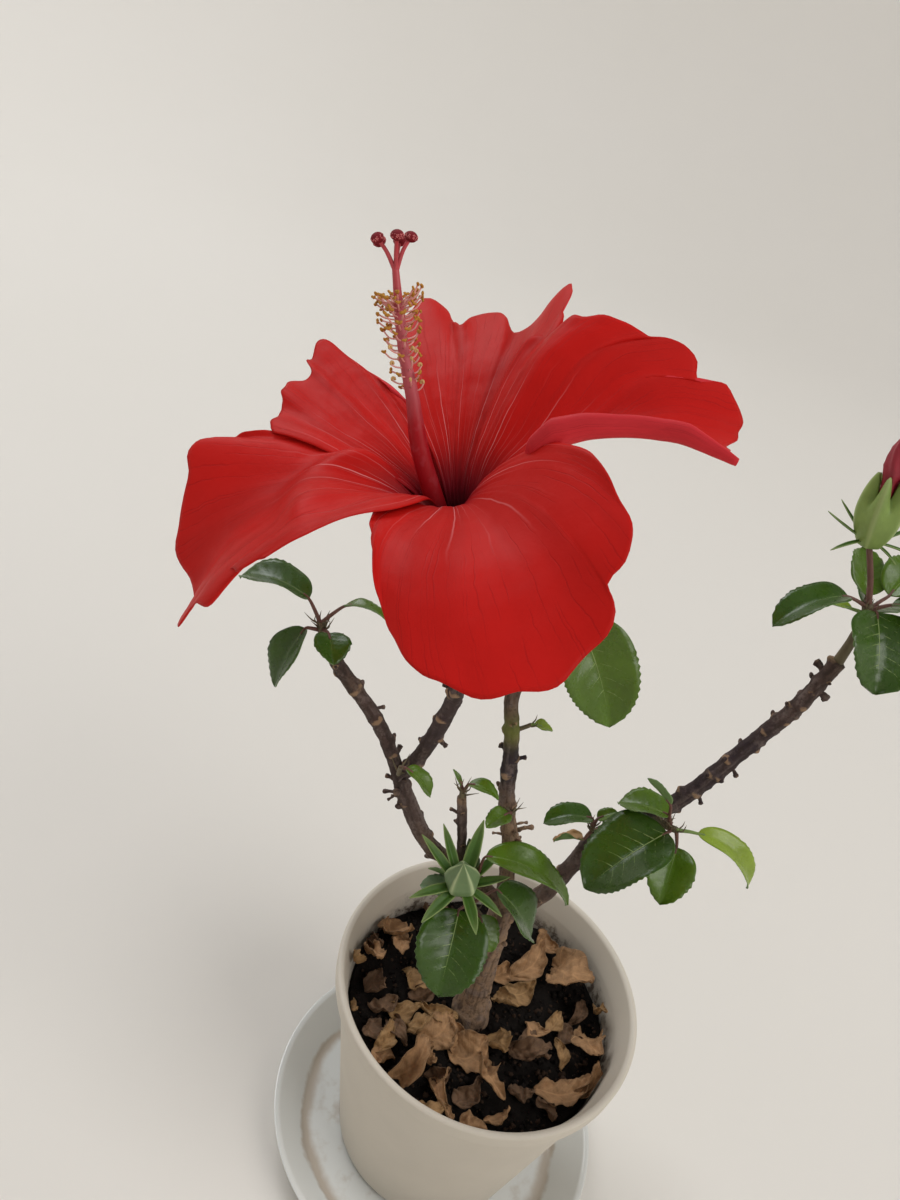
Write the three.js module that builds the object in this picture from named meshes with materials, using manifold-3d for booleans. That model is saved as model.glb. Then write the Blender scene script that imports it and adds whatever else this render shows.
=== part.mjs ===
// A small potted hibiscus with one open bloom. Sizes are in millimetres and +Z is up.
// The origin is the middle of the saucer's flat underside. The plant is faced from -Y, with +X to the right.
// A direction is an azimuth, turned from +X towards +Y, and a rise above the level, both in degrees.

import * as THREE from "three";
import { mergeVertices } from "three/addons/utils/BufferGeometryUtils.js";
import Module from "manifold-3d";

const wasm = await Module();
wasm.setup();

const { abs, cos, exp, max, min, PI, round, sin, sqrt } = Math;
const DEG = PI / 180;

// Driving dimensions.
const CLEAR = 0.3; // gap between pieces that touch
const SEAM = 0.03; // tolerance to which joins and cuts are clean
const SAUCER = { rim: 71, base: 57, height: 14, wall: 2.4, floor: 2.5 };
const POT = { rim: 60, base: 41, top: 106, wall: 2.8, floor: 4, lip: 8, lipProud: 1.6 };
const SOIL = { top: 86.7, lump: 1.4, level: 14 };
// Dry leaves on the soil, with the least and the most of their length, rise, curl and fold.
const LITTER = {
  count: 11,
  reach: 36,
  sunk: 1.2,
  length: [17, 25],
  broad: 0.7, // width as a share of length
  rise: [28, 55],
  curl: [50, 80],
  fold: [24, 40],
  stations: [0, 0.33, 0.7, 1],
  widths: [0.3, 1, 0.8, 0.1],
  seed: 5,
};
const SPIRAL = 137.5; // degrees from one leaf or stamen to the next round a stem
const ROUND_SIDES = 36;
const SOIL_SIDES = 20;

const BARK = { sides: 8, step: 5.5, knot: 0.09 };
const TRUNK = {
  path: [[-2.6, -2.6, 80], [-3.6, -1.8, 95], [-4.7, -1, 114.6], [-6.4, 0, 143], [-6.9, 0.6, 148]],
  radii: [5.6, 4.4],
  flare: { radius: 2.2, from: 0.1, fade: 14 }, // it dies away up the trunk from a share of its length
};
// Each bough runs from its root to its tip. It starts inside what carries it, and is cut clear of that.
const BOUGHS = {
  centre_bough: {
    path: [
      [-6.8, 0.4, 146], [-9, 3.2, 160], [-12.7, 4, 176.8], [-19, 3, 195.5],
      [-25.3, 2, 224], [-29.7, 2, 239.5], [-28.4, 5, 253],
    ],
    radii: [3.1, 2.3],
    from: ["trunk"],
  },
  right_bough_lower: {
    path: [
      [-7, 0, 143], [4.8, 4, 153.3], [12.8, 8, 171.5],
      [16.9, 10, 183.8], [25.3, 12, 194.5], [35.4, 13, 203.6],
    ],
    radii: [3.3, 2.8],
    from: ["trunk", "centre_bough"],
  },
  right_bough_upper: {
    path: [[34.4, 12.9, 202.6], [40.2, 14, 211.8], [52.7, 16, 240.8], [59.2, 17, 257.2], [63.6, 18, 275.3]],
    radii: [2.8, 2.4],
    from: ["right_bough_lower"],
  },
  left_bough_lower: {
    path: [
      [-6, 0.4, 145], [-15, 1, 152.5], [-26.3, 0, 160.6],
      [-39.3, -2, 169.5], [-53.7, -3, 192.1], [-57, -3, 199],
    ],
    radii: [3.1, 2.6],
    from: ["trunk", "centre_bough", "right_bough_lower"],
  },
  left_bough_upper: {
    path: [[-56.4, -3, 197.4], [-67.6, -3, 216.7], [-85.7, -3, 236.4], [-90, -3, 243]],
    radii: [2.5, 2.1],
    from: ["left_bough_lower"],
  },
  bloom_bough: {
    path: [
      [-56.5, -3, 197], [-52.3, -5, 209.7], [-49.2, -8, 226.2],
      [-47.3, -12, 243.1], [-47.5, -17.5, 256],
    ],
    radii: [2.5, 2.3],
    from: ["left_bough_lower", "left_bough_upper"],
  },
  short_stub: {
    path: [[-26.5, 0, 160.5], [-29, -1, 174], [-34.3, -1, 194.6]],
    radii: [1.8, 1.5],
    from: ["left_bough_lower"],
  },
};

// The bloom's petals lie on one funnel that opens into a plate. Going up the petals, its slope in degrees
// falls from the throat's to one at mid-length and one at the rim, at each petal and midway to the next.
const BLOOM = {
  base: [-58.4, -34.9, 301.5],
  axis: [-0.355, 0.066, 0.933],
  claw: 3.4,
  throatSlope: 86,
  reach: 82,
  opened: 0.42, // share of the reach where the throat has opened to the mid-length slope
  droops: 0.35, // share of the reach where the turn to the rim's slope begins
  slopes: [
    [3, -43], [32, -20], [23, -22], [49, 27], [43, 9],
    [41, 11], [31, 25], [27, 1], [11, -55], [16, -53],
  ],
  // Each petal: middle azimuth, half width, and length at places across from its lower edge to its raised one.
  petals: [
    { name: "petal_front", azimuth: -70, half: 32, rim: [46, 80, 83, 84, 84, 84, 80, 72, 44] },
    { name: "petal_right", azimuth: 7, half: 34.5, rim: [44, 65, 80, 80, 82, 85, 80, 66, 44] },
    { name: "petal_back", azimuth: 71, half: 31.5, rim: [42, 63, 77, 83, 79, 77, 79, 68, 45] },
    { name: "petal_back_left", azimuth: 137, half: 30, rim: [36, 53, 62, 67, 71, 64, 64, 56, 38] },
    { name: "petal_left", azimuth: 201, half: 36, rim: [49, 74, 79, 83, 86, 83, 78, 68, 44] },
  ],
  rows: 10,
  broadest: 52, // distance up a petal
  narrowing: 0.1, // share of its width that a petal loses again by its tip
  turns: [12, 26, 43], // least half angle of a petal, most at its claw, and most further up
  thick: 0.9,
  overlap: 2, // rise of each petal's one edge and fall of the other, so that each lies over the next
};
const CALYX = {
  sides: 15,
  tube: 10,
  lobe: 10,
  under: 3.6, // distance below the petals
  thick: 0.8,
  foot: [[8, 1.8], [6, 4.2], [3, 6.2]], // distance below the bloom's base, and radius
  bracts: 7,
  bract: 13,
  bractWidth: 1.8,
};
const STALK = {
  path: [[-47.6, -18.4, 256.9], [-48.3, -26, 270], [-51.5, -33.4, 283.5], [-55.4, -35.4, 293.5]],
  radii: [1.5, 1.3],
};
const COLUMN = {
  path: [
    [-58.4, -34.9, 301.5], [-63.4, -33.5, 314.6], [-71.4, -31, 326],
    [-78.5, -27, 336], [-83.7, -24, 345.5], [-88, -20.5, 355],
  ],
  radii: [1.9, 1],
  stamens: 24,
  stamensAt: [0.5, 0.985],
  filament: 5,
  filamentRadius: 0.3,
  anther: 0.75,
};
const STYLE = {
  fork: [-90.2, -18.6, 360.6],
  radius: 0.7,
  branches: 5,
  branchRadius: 0.45,
  reach: 7.5,
  spread: 24,
  stigma: 1.1,
};

const LEAF = {
  stations: [0, 0.2, 0.45, 0.75, 1],
  widths: [0.06, 0.78, 1, 0.68, 0.03],
  fold: 16,
  thick: 0.5,
  slender: 70, // most times that a blade's length may hold its thickness
  petiole: 0.6,
};

const COLOURS = {
  petal: [0xc4201f, 0.55],
  filament: [0xd96a72, 0.6],
  stigma: [0x9a1a22, 0.6],
  calyx: [0x7f9a4a, 0.6],
  budRed: [0x7a1f2c, 0.55],
  bark: [0x5d4a42, 0.9],
  trunkBark: [0x94714f, 0.9],
  leaf: [0x3c6b2a, 0.35],
  pot: [0xc9bfb0, 0.75],
  saucer: [0xd6d9d6, 0.4],
  soil: [0x1f1813, 0.95],
};

// Masses of leaves. Each grows from one stem, whose path starts inside a bough and is cut clear of it. A leaf
// leaves the stem at a share of its length, on a stalk with its own direction and length. Its blade has a
// direction, length, width, droop from stalk to tip and roll about its midrib.
const MASSES = {
  left_tip_leaves: {
    stem: [[-89.6, -3, 242.2], [-91.8, -3, 246], [-93, -3, 249]],
    radii: [1.8, 1.2],
    from: ["left_bough_upper"],
    leaves: [
      { at: 0.9, stalk: [160, 48, 8.6], blade: [172, 27, 24.5, 15, 62, 0] },
      { at: 0.6, stalk: [-150, 12, 5.5], blade: [-118, -38, 21.5, 14, 50, 20] },
      { at: 0.7, stalk: [-50, 18, 4.4], blade: [-62, -8, 11, 12, 30, 0] },
      { at: 0.95, stalk: [0, 55, 10.5], blade: [-8, 32, 15, 8, 60, -15] },
    ],
  },
  left_fork_leaf: {
    stem: [[-57, -3, 198.5], [-57, -8, 203.5], [-57, -12, 210]],
    radii: [0.9, 0.7],
    from: ["left_bough_lower", "left_bough_upper", "bloom_bough"],
    leaves: [{ at: 0.95, stalk: [-30, 30, 2.5], blade: [-8, -12, 13, 8, 50, 0] }],
  },
  stub_leaves: {
    stem: [[-34.1, -1, 193.6], [-34.8, -1, 198.2]],
    radii: [1.2, 0.8],
    from: ["short_stub"],
    leaves: [
      { at: 0.7, stalk: [-20, 75, 4.5], blade: [-12, 34, 12, 6.5, 75, 0] },
      { at: 0.8, stalk: [150, 60, 2], blade: [160, 50, 6.5, 2.5, 10, 0] },
    ],
  },
  centre_low_leaves: {
    stem: [[-18, 3.2, 192], [-16.4, -0.6, 193.8], [-16.2, -2, 195]],
    radii: [0.9, 0.7],
    from: ["centre_bough"],
    leaves: [{ at: 0.9, stalk: [-140, 20, 2], blade: [-130, 5, 10.5, 8, 25, 0] }],
  },
  centre_high_leaf: {
    stem: [[-25, 2.2, 226], [-22, 3, 228], [-20.5, 3.2, 229.4]],
    radii: [0.9, 0.7],
    from: ["centre_bough"],
    leaves: [{ at: 0.9, stalk: [10, 20, 1.6], blade: [9, 0, 6.5, 5.5, 20, 0] }],
  },
  centre_tip_leaves: {
    stem: [[-28.5, 4.8, 252], [-26, 7, 260], [-22, 9, 266], [-18, 10.5, 270]],
    radii: [2, 1.2],
    from: ["centre_bough"],
    leaves: [
      { at: 0.95, stalk: [-80, 12, 3], blade: [-31, -38, 35.5, 26, 24, 42] },
      { at: 0.85, stalk: [95, 20, 8], blade: [90, 8, 28, 20, 40, 0] },
      { at: 0.7, stalk: [50, 10, 6], blade: [60, 2, 20, 15, 40, 0] },
      { at: 0.55, stalk: [120, -10, 6], blade: [118, -22, 25, 18, 40, 0] },
      { at: 1, stalk: [110, 55, 6], blade: [115, 35, 18, 11, 40, 0] },
    ],
  },
  bloom_shoot_leaves: {
    stem: [[-49, -14.5, 251], [-54, -7, 257], [-59, 1, 264]],
    radii: [1.6, 1],
    from: ["bloom_bough"],
    leaves: [
      { at: 1, stalk: [100, 25, 8], blade: [105, 10, 33, 22, 45, 0] },
      { at: 0.9, stalk: [145, 35, 5], blade: [140, 20, 18, 13, 40, 0] },
      { at: 0.85, stalk: [55, 20, 6], blade: [50, 5, 24, 16, 35, 0] },
    ],
  },
  low_cluster_leaves: {
    stem: [[-5.5, -1, 132], [-12, -8.6, 146], [-19, -11.5, 156], [-24.6, -13.4, 165]],
    radii: [2, 1.4],
    from: ["trunk", "left_bough_lower", "right_bough_lower"],
    leaves: [
      { at: 0.8, stalk: [-130, -5, 5], blade: [-89, -18, 29, 26, 38, 0] },
      { at: 0.78, stalk: [6, 56, 12], blade: [-6, -24, 25, 19, 40, 0] },
      { at: 0.85, stalk: [77, 78, 19], blade: [2, 18, 38, 15, 78, 0] },
      { at: 0.8, stalk: [150, 42, 7], blade: [172, 18, 13, 10, 25, 40] },
      { at: 0.85, stalk: [-175, 25, 5], blade: [-176, 8, 13, 11, 20, 0] },
      { at: 0.7, stalk: [-30, -15, 3], blade: [-42, -30, 13, 11, 20, 0] },
      { at: 0.85, stalk: [105, 35, 7], blade: [125, 72, 15, 7, 20, 0] },
    ],
  },
  right_low_leaves: {
    stem: [[16.6, 10, 182], [14.2, 9.6, 186.5], [13.4, 9.4, 189.5]],
    radii: [1, 0.7],
    from: ["right_bough_lower"],
    leaves: [
      { at: 0.95, stalk: [-165, 70, 4], blade: [-168, 12, 18, 11, 62, 0] },
      { at: 0.95, stalk: [60, 50, 3], blade: [20, 40, 7.5, 6, 20, 0] },
      { at: 0.7, stalk: [-134, -48, 4.3], blade: [-175, -10, 10, 9, 20, 30] },
    ],
  },
  right_mid_leaves: {
    stem: [[31, 12.6, 199.3], [34.5, 7, 201.5], [37.8, 2.4, 204.6]],
    radii: [1.7, 1.2],
    from: ["right_bough_lower", "right_bough_upper"],
    leaves: [
      { at: 0.8, stalk: [150, 60, 4.5], blade: [165, 4, 18, 14, 40, 0] },
      { at: 0.7, stalk: [-160, 72, 11], blade: [165, 35, 12, 6, 10, 60] },
      { at: 0.9, stalk: [-140, -20, 2.6], blade: [-143, -20, 34, 29, 28, 6] },
      { at: 1, stalk: [-50, -60, 6], blade: [-98, -24, 20, 17, 24, 10] },
      { at: 1, stalk: [-2, 12, 7], blade: [-6, 12, 31, 10, 90, 20] },
    ],
  },
  right_tip_leaves: {
    stem: [[63.4, 17.9, 274.3], [64.2, 18.6, 286], [63.4, 19, 296.4]],
    radii: [1.8, 1.2],
    from: ["right_bough_upper"],
    leaves: [
      { at: 0.95, stalk: [-175, 16, 7.5], blade: [-155, 2, 26, 13, 62, 0] },
      { at: 0.9, stalk: [-45, 30, 3], blade: [-78, -28, 25, 27, 32, 0] },
      { at: 0.9, stalk: [100, 40, 5], blade: [100, 40, 17, 14, 20, 0] },
      { at: 0.9, stalk: [30, 45, 8], blade: [54, 42, 20, 14, 30, 0] },
      { at: 0.9, stalk: [-5, 40, 7], blade: [-30, 30, 21, 14, 40, 0] },
      { at: 0.85, stalk: [164, 0, 4], blade: [164, -6, 13, 6, 20, 0] },
      { at: 0.75, stalk: [60, 10, 6], blade: [62, 0, 23, 16, 40, 0] },
      { at: 0.6, stalk: [5, 0, 5], blade: [5, -12, 22, 15, 35, 0] },
    ],
  },
};

const BUD_SIDES = 15;
const BUDS = {
  right: {
    stalk: [[63, 19, 297], [60, 19.4, 304], [54.9, 20, 313.4]],
    base: [54.5, 20, 314.2],
    axis: [-0.16, 0.02, 0.97],
    radius: 6.2,
    length: 23,
    open: true,
    bracts: 7,
    bract: 13,
    bractWidth: 1.6,
  },
  low: {
    base: [-25.3, -14.1, 166.8],
    axis: [-0.28, -0.42, 0.86],
    radius: 6.4,
    length: 15,
    open: false,
    bracts: 9,
    bract: 15,
    bractWidth: 4,
  },
};

// Small tools.
const vector = ([x, y, z]) => new THREE.Vector3(x, y, z);
const clamp = (value) => min(1, max(0, value));
const smooth = (value) => clamp(value) ** 2 * (3 - 2 * clamp(value));
const mix = (a, b, share) => a + (b - a) * share;

// A repeatable row of numbers between 0 and 1.
function seeded(seed) {
  let state = seed;
  return () => {
    state = (state * 1664525 + 1013904223) % 4294967296;
    return state / 4294967296;
  };
}

function heading(azimuth, rise) {
  const level = cos(rise * DEG);
  return new THREE.Vector3(level * cos(azimuth * DEG), level * sin(azimuth * DEG), sin(rise * DEG));
}

// A direction square to an axis, to count angles from.
function sideOf(axis) {
  const reference = abs(axis.x) > 0.9 ? new THREE.Vector3(0, 1, 0) : new THREE.Vector3(1, 0, 0);
  return reference.projectOnPlane(axis).normalize();
}

// A closed body from points and triangles, turned so that its faces point out.
function body(points, faces) {
  const volume = faces.reduce(
    (sum, [a, b, c]) => sum + points[a].dot(points[b].clone().cross(points[c])),
    0,
  );
  const outward = volume < 0 ? faces.map(([a, b, c]) => [a, c, b]) : faces;
  const vertProperties = Float32Array.from(points.flatMap((point) => point.toArray()));
  const triVerts = Uint32Array.from(outward.flat());
  return new wasm.Manifold(new wasm.Mesh({ numProp: 3, vertProperties, triVerts }));
}

// A closed body from one of the library's closed geometries.
function bodyOf(geometry) {
  geometry.deleteAttribute("normal");
  geometry.deleteAttribute("uv");
  const merged = mergeVertices(geometry, 1e-4);
  const position = merged.getAttribute("position");
  const points = Array.from({ length: position.count }, (_, i) =>
    new THREE.Vector3().fromBufferAttribute(position, i),
  );
  const faces = [];
  for (let i = 0; i < merged.index.count; i += 3) {
    const [a, b, c] = [0, 1, 2].map((k) => merged.index.getX(i + k));
    if (a !== b && b !== c && c !== a) faces.push([a, b, c]);
  }
  return body(points, faces);
}

function lathe(profile) {
  const outline = profile.map(([radius, height]) => new THREE.Vector2(radius, height));
  return bodyOf(new THREE.LatheGeometry(outline, ROUND_SIDES).rotateX(PI / 2));
}

// A body through rings that all have as many points, closed by a fan over the first ring and the last.
function loft(rings) {
  const sides = rings[0].length;
  const points = rings.flat();
  const faces = [];
  for (let start = 0; start < points.length - sides; start += sides)
    for (let j = 0; j < sides; j++) {
      const a = start + j;
      const b = start + ((j + 1) % sides);
      faces.push([a, b, b + sides], [a, b + sides, a + sides]);
    }
  const last = points.length - sides;
  for (let j = 1; j < sides - 1; j++) {
    faces.push([0, j + 1, j]);
    faces.push([last, last + j, last + j + 1]);
  }
  return body(points, faces);
}

// A thin sheet of even thickness over a grid of points, in rows from its root to its tip.
function blade(grid, thickness) {
  const rows = grid.length;
  const columns = grid[0].length;
  const upper = [];
  const under = [];
  grid.forEach((row, i) =>
    row.forEach((point, j) => {
      const along = grid[min(i + 1, rows - 1)][j].clone().sub(grid[max(i - 1, 0)][j]);
      const across = row[min(j + 1, columns - 1)].clone().sub(row[max(j - 1, 0)]);
      const normal = across.cross(along).setLength(thickness / 2);
      upper.push(point.clone().add(normal));
      under.push(point.clone().sub(normal));
    }),
  );
  const faces = [];
  const quad = (a, b, c, d) => faces.push([a, b, c], [a, c, d]);
  const half = rows * columns;
  const at = (i, j) => i * columns + j;
  for (let i = 1; i < rows; i++)
    for (let j = 1; j < columns; j++) {
      quad(at(i - 1, j - 1), at(i - 1, j), at(i, j), at(i, j - 1));
      faces.push([at(i, j) + half, at(i - 1, j) + half, at(i - 1, j - 1) + half]);
      faces.push([at(i, j - 1) + half, at(i, j) + half, at(i - 1, j - 1) + half]);
    }
  const rim = [];
  for (let j = 0; j < columns - 1; j++) rim.push(at(0, j));
  for (let i = 0; i < rows - 1; i++) rim.push(at(i, columns - 1));
  for (let j = columns - 1; j > 0; j--) rim.push(at(rows - 1, j));
  for (let i = rows - 1; i > 0; i--) rim.push(at(i, 0));
  rim.forEach((a, k) => {
    const b = rim[(k + 1) % rim.length];
    quad(b, a, a + half, b + half);
  });
  return body([...upper, ...under], faces);
}

function ring(centre, sideways, forward, radius, sides, turn = 0) {
  return Array.from({ length: sides }, (_, j) => {
    const angle = (2 * PI * j) / sides + turn;
    return centre
      .clone()
      .addScaledVector(sideways, radius * cos(angle))
      .addScaledVector(forward, radius * sin(angle));
  });
}

// A round limb along a smooth path, with its radius given by the share of the path behind it.
function tube(path, radiusAt, sides, step, longer = 0) {
  const curve = new THREE.CatmullRomCurve3(path);
  const steps = max(1, round(curve.getLength() / step));
  const frames = curve.computeFrenetFrames(steps, false);
  const rings = Array.from({ length: steps + 1 }, (_, i) => {
    const past = i === 0 ? -longer : i === steps ? longer : 0;
    const centre = curve.getPointAt(i / steps).addScaledVector(frames.tangents[i], past);
    return ring(centre, frames.normals[i], frames.binormals[i], radiusAt(i / steps, i), sides);
  });
  return loft(rings);
}

// A thin rod of even radius, with one ring at each point.
function rod(points, radius, sides) {
  const last = points.length - 1;
  const rings = points.map((point, i) => {
    const along = points[min(i + 1, last)].clone().sub(points[max(i - 1, 0)]).normalize();
    const side = sideOf(along);
    return ring(point, side, along.clone().cross(side), radius, sides);
  });
  return loft(rings);
}

// A limb with its bark's knots. Grown by a clearance on all sides, it cuts its neighbours clear of it.
function bark({ path, radii: [root, tip], flare }, grow = 0) {
  const knot = (i) => 1 + BARK.knot * (i % 2 ? 0.5 : -0.5);
  const foot = (share) => (flare ? flare.radius * exp(-flare.fade * max(0, share - flare.from)) : 0);
  const radiusAt = (share, i) => mix(root, tip, share) * knot(i) + foot(share) + grow;
  return tube(path.map(vector), radiusAt, BARK.sides, BARK.step, grow);
}

const largest = (solid) => solid.decompose().sort((a, b) => b.volume() - a.volume())[0];
const cutClear = (solid, others) => largest(others.reduce((left, other) => left.subtract(other), solid));
const touches = (solid, others) => others.some((other) => solid.intersect(other).volume() > 0);
const joined = (solids) => solids.reduce((all, solid) => all.add(solid));

const group = new THREE.Group();
group.name = "hibiscus";

function place(name, solid, [colour, roughness]) {
  const { vertProperties, triVerts } = solid.asOriginal().setTolerance(SEAM).getMesh();
  const geometry = new THREE.BufferGeometry();
  geometry.setAttribute("position", new THREE.BufferAttribute(vertProperties, 3));
  geometry.setIndex(new THREE.BufferAttribute(triVerts, 1));
  geometry.computeVertexNormals();
  const material = new THREE.MeshStandardMaterial({ color: colour, roughness, metalness: 0 });
  const mesh = new THREE.Mesh(geometry, material);
  mesh.name = name;
  group.add(mesh);
}

// Saucer, pot and soil.
function saucer() {
  const { rim, base, height, wall, floor } = SAUCER;
  return lathe([
    [0, 0],
    [base - 1, 0],
    [base + 2, 2],
    [rim - 1, height - 1.5],
    [rim, height],
    [rim - wall, height],
    [base + 2 - wall, floor + 0.6],
    [base - 2, floor],
    [0, floor],
  ]);
}

const potFoot = SAUCER.floor + CLEAR;
const potRadius = (height) => mix(POT.base, POT.rim - POT.lipProud, (height - potFoot) / (POT.top - potFoot));

function pot() {
  const { rim, base, top, wall, floor, lip } = POT;
  const inside = potFoot + floor;
  const underLip = top - lip;
  return lathe([
    [0, potFoot],
    [base - 1.5, potFoot],
    [base, potFoot + 1.5],
    [potRadius(underLip), underLip],
    [rim - 0.6, underLip + 1],
    [rim, top - 1],
    [rim - 1, top],
    [rim - wall + 0.8, top],
    [rim - wall, top - 1],
    [potRadius(underLip) - wall, underLip - 2],
    [potRadius(inside) - wall, inside],
    [0, inside],
  ]);
}

// Height of the soil over a point: level round the trunk, lumpy further out.
function soilHeight(x, y) {
  const lumps = sin(0.19 * x + 1.3) * cos(0.23 * y) + 0.5 * sin(0.31 * x - 0.27 * y);
  return SOIL.top + SOIL.lump * lumps * smooth((sqrt(x * x + y * y) - SOIL.level) / 12);
}

function soilBed() {
  const foot = potFoot + POT.floor + CLEAR;
  const across = new THREE.Vector3(1, 0, 0);
  const away = new THREE.Vector3(0, 1, 0);
  const shoulder = SOIL.top - 3;
  const inner = (height) => potRadius(height) - POT.wall - CLEAR - 0.2;
  const level = (radius, height) => ring(new THREE.Vector3(0, 0, height), across, away, radius, SOIL_SIDES);
  const surface = [0.99, 0.8, 0.55, 0.27].map((share) =>
    level(share * inner(shoulder), 0).map((point) => point.setZ(soilHeight(point.x, point.y))),
  );
  return loft([level(inner(foot), foot), level(inner(shoulder), shoulder), ...surface]);
}

// Leaf blades, used green on the shoots and dry on the soil.
function leafBlade(base, [azimuth, rise, length, width, droop, roll], stations, widths, fold) {
  let from = base.clone();
  let before = 0;
  return blade(
    stations.map((share, i) => {
      const direction = heading(azimuth, rise - droop * (share + before) / 2);
      from = from.clone().addScaledVector(direction, (share - before) * length);
      before = share;
      const level = new THREE.Vector3(sin(azimuth * DEG), -cos(azimuth * DEG), 0);
      const side = level.applyAxisAngle(direction, roll * DEG);
      const raised = side.clone().cross(direction);
      const half = (width / 2) * widths[i];
      return [-1, 0, 1].map((edge) =>
        from
          .clone()
          .addScaledVector(side, edge * half * cos(fold * DEG))
          .addScaledVector(raised, abs(edge) * half * sin(fold * DEG)),
      );
    }),
    max(LEAF.thick, length / LEAF.slender),
  );
}

function leaf(root, { stalk: [azimuth, rise, length], blade: shape }) {
  const base = root.clone().addScaledVector(heading(azimuth, rise), length);
  const inBlade = base.clone().addScaledVector(heading(shape[0], shape[1]), 1.6);
  const petiole = rod([root, base, inBlade], LEAF.petiole, 4);
  return petiole.add(leafBlade(base, shape, LEAF.stations, LEAF.widths, LEAF.fold));
}

function litter(trunk) {
  const { count, reach, sunk, length: lengths, broad, rise, curl, fold, stations, widths, seed } = LITTER;
  const random = seeded(seed);
  const between = ([low, high]) => mix(low, high, random());
  const leaves = [];
  for (let i = 0; i < count; i++) {
    const angle = i * SPIRAL * DEG;
    const away = reach * sqrt((i + 1.2) / count);
    const base = new THREE.Vector3(away * cos(angle), away * sin(angle), 0);
    base.z = soilHeight(base.x, base.y) - sunk;
    const length = between(lengths);
    const shape = [between([0, 360]), between(rise), length, length * broad, between(curl), between([-20, 20])];
    const dry = leafBlade(base, shape, stations, widths, between(fold));
    const { min: low, max: high } = dry.boundingBox();
    const furthest = sqrt(max(abs(low[0]), abs(high[0])) ** 2 + max(abs(low[1]), abs(high[1])) ** 2);
    const inside = furthest < potRadius(SOIL.top) - POT.wall - 1 && high[2] < POT.top - 2;
    if (inside && !touches(dry, [trunk])) leaves.push(dry);
  }
  return leaves;
}

// The bloom. Its points are given by an angle round its axis, a distance up a petal and a lift off the funnel's
// surface.
const bloomAxis = vector(BLOOM.axis).normalize();
const bloomSide = sideOf(bloomAxis);
const bloomBack = bloomAxis.clone().cross(bloomSide);

function slopeAt(angle, share) {
  const { petals, slopes, throatSlope, opened, droops } = BLOOM;
  const stations = petals.flatMap(({ azimuth }, i) => {
    const next = i < petals.length - 1 ? petals[i + 1].azimuth : petals[0].azimuth + 360;
    return [azimuth, (azimuth + next) / 2];
  });
  const turned = ((((angle - stations[0]) % 360) + 360) % 360) + stations[0];
  const after = stations.findIndex((station) => station > turned);
  const to = after < 0 ? stations.length : after;
  const end = to < stations.length ? stations[to] : stations[0] + 360;
  const part = smooth((turned - stations[to - 1]) / (end - stations[to - 1]));
  const [middle, rim] = [0, 1].map((k) => mix(slopes[to - 1][k], slopes[to % slopes.length][k], part));
  const beyond = mix(middle, rim, smooth((share - droops) / (1 - droops)));
  return mix(throatSlope, beyond, smooth(share / opened)) * DEG;
}

function funnel(angle, distance) {
  const steps = 14;
  let radius = BLOOM.claw;
  let height = 0;
  for (let k = 0; k < steps; k++) {
    const slope = slopeAt(angle, (((k + 0.5) / steps) * distance) / BLOOM.reach);
    radius += (cos(slope) * distance) / steps;
    height += (sin(slope) * distance) / steps;
  }
  return { radius, height, slope: slopeAt(angle, distance / BLOOM.reach) };
}

function bloomPoint(angle, distance, lift) {
  const { radius, height, slope } = funnel(angle, distance);
  const out = radius - lift * sin(slope);
  return vector(BLOOM.base)
    .addScaledVector(bloomAxis, height + lift * cos(slope))
    .addScaledVector(bloomSide, out * cos(angle * DEG))
    .addScaledVector(bloomBack, out * sin(angle * DEG));
}

// A petal widens from its claw, where the next ones leave it room, to where it laps furthest over them.
function petal({ azimuth, half, rim }) {
  const { rows, reach, broadest, narrowing, turns, overlap, thick } = BLOOM;
  const [least, atClaw, most] = turns;
  const grid = Array.from({ length: rows }, (_, i) =>
    rim.map((length, j) => {
      const edge = (2 * j) / (rim.length - 1) - 1;
      const up = (i / (rows - 1)) * length;
      const widened = 1 - (1 - min(up / broadest, 1)) ** 2.2;
      const narrowed = 1 - narrowing * clamp((up - broadest) / (reach - broadest)) ** 2;
      const widest = mix(atClaw, most, clamp((up - 3) / 22));
      const turn = (half * widened * narrowed) / funnel(azimuth, up).radius / DEG;
      const angle = azimuth + edge * max(least, min(turn, widest));
      return bloomPoint(angle, up, overlap * edge * clamp(up / 18));
    }),
  );
  return blade(grid, thick);
}

// A slim pointed bract from a point, curving up from its direction.
function bract(from, azimuth, rise, length, width) {
  return leafBlade(from, [azimuth, rise, length, width, -20, 0], [0, 0.45, 1], [0.7, 1, 0.1], 12);
}

function bractsRound(base, axis, count, length, width, radius) {
  const side = sideOf(axis);
  return ring(new THREE.Vector3(), side, axis.clone().cross(side), 1, count, 0.4).map((out) => {
    const aim = out.clone().addScaledVector(axis, 0.45).normalize();
    const azimuth = Math.atan2(aim.y, aim.x) / DEG;
    const rise = Math.asin(aim.z) / DEG;
    return bract(base.clone().addScaledVector(out, radius), azimuth, rise, length, width);
  });
}

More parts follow.
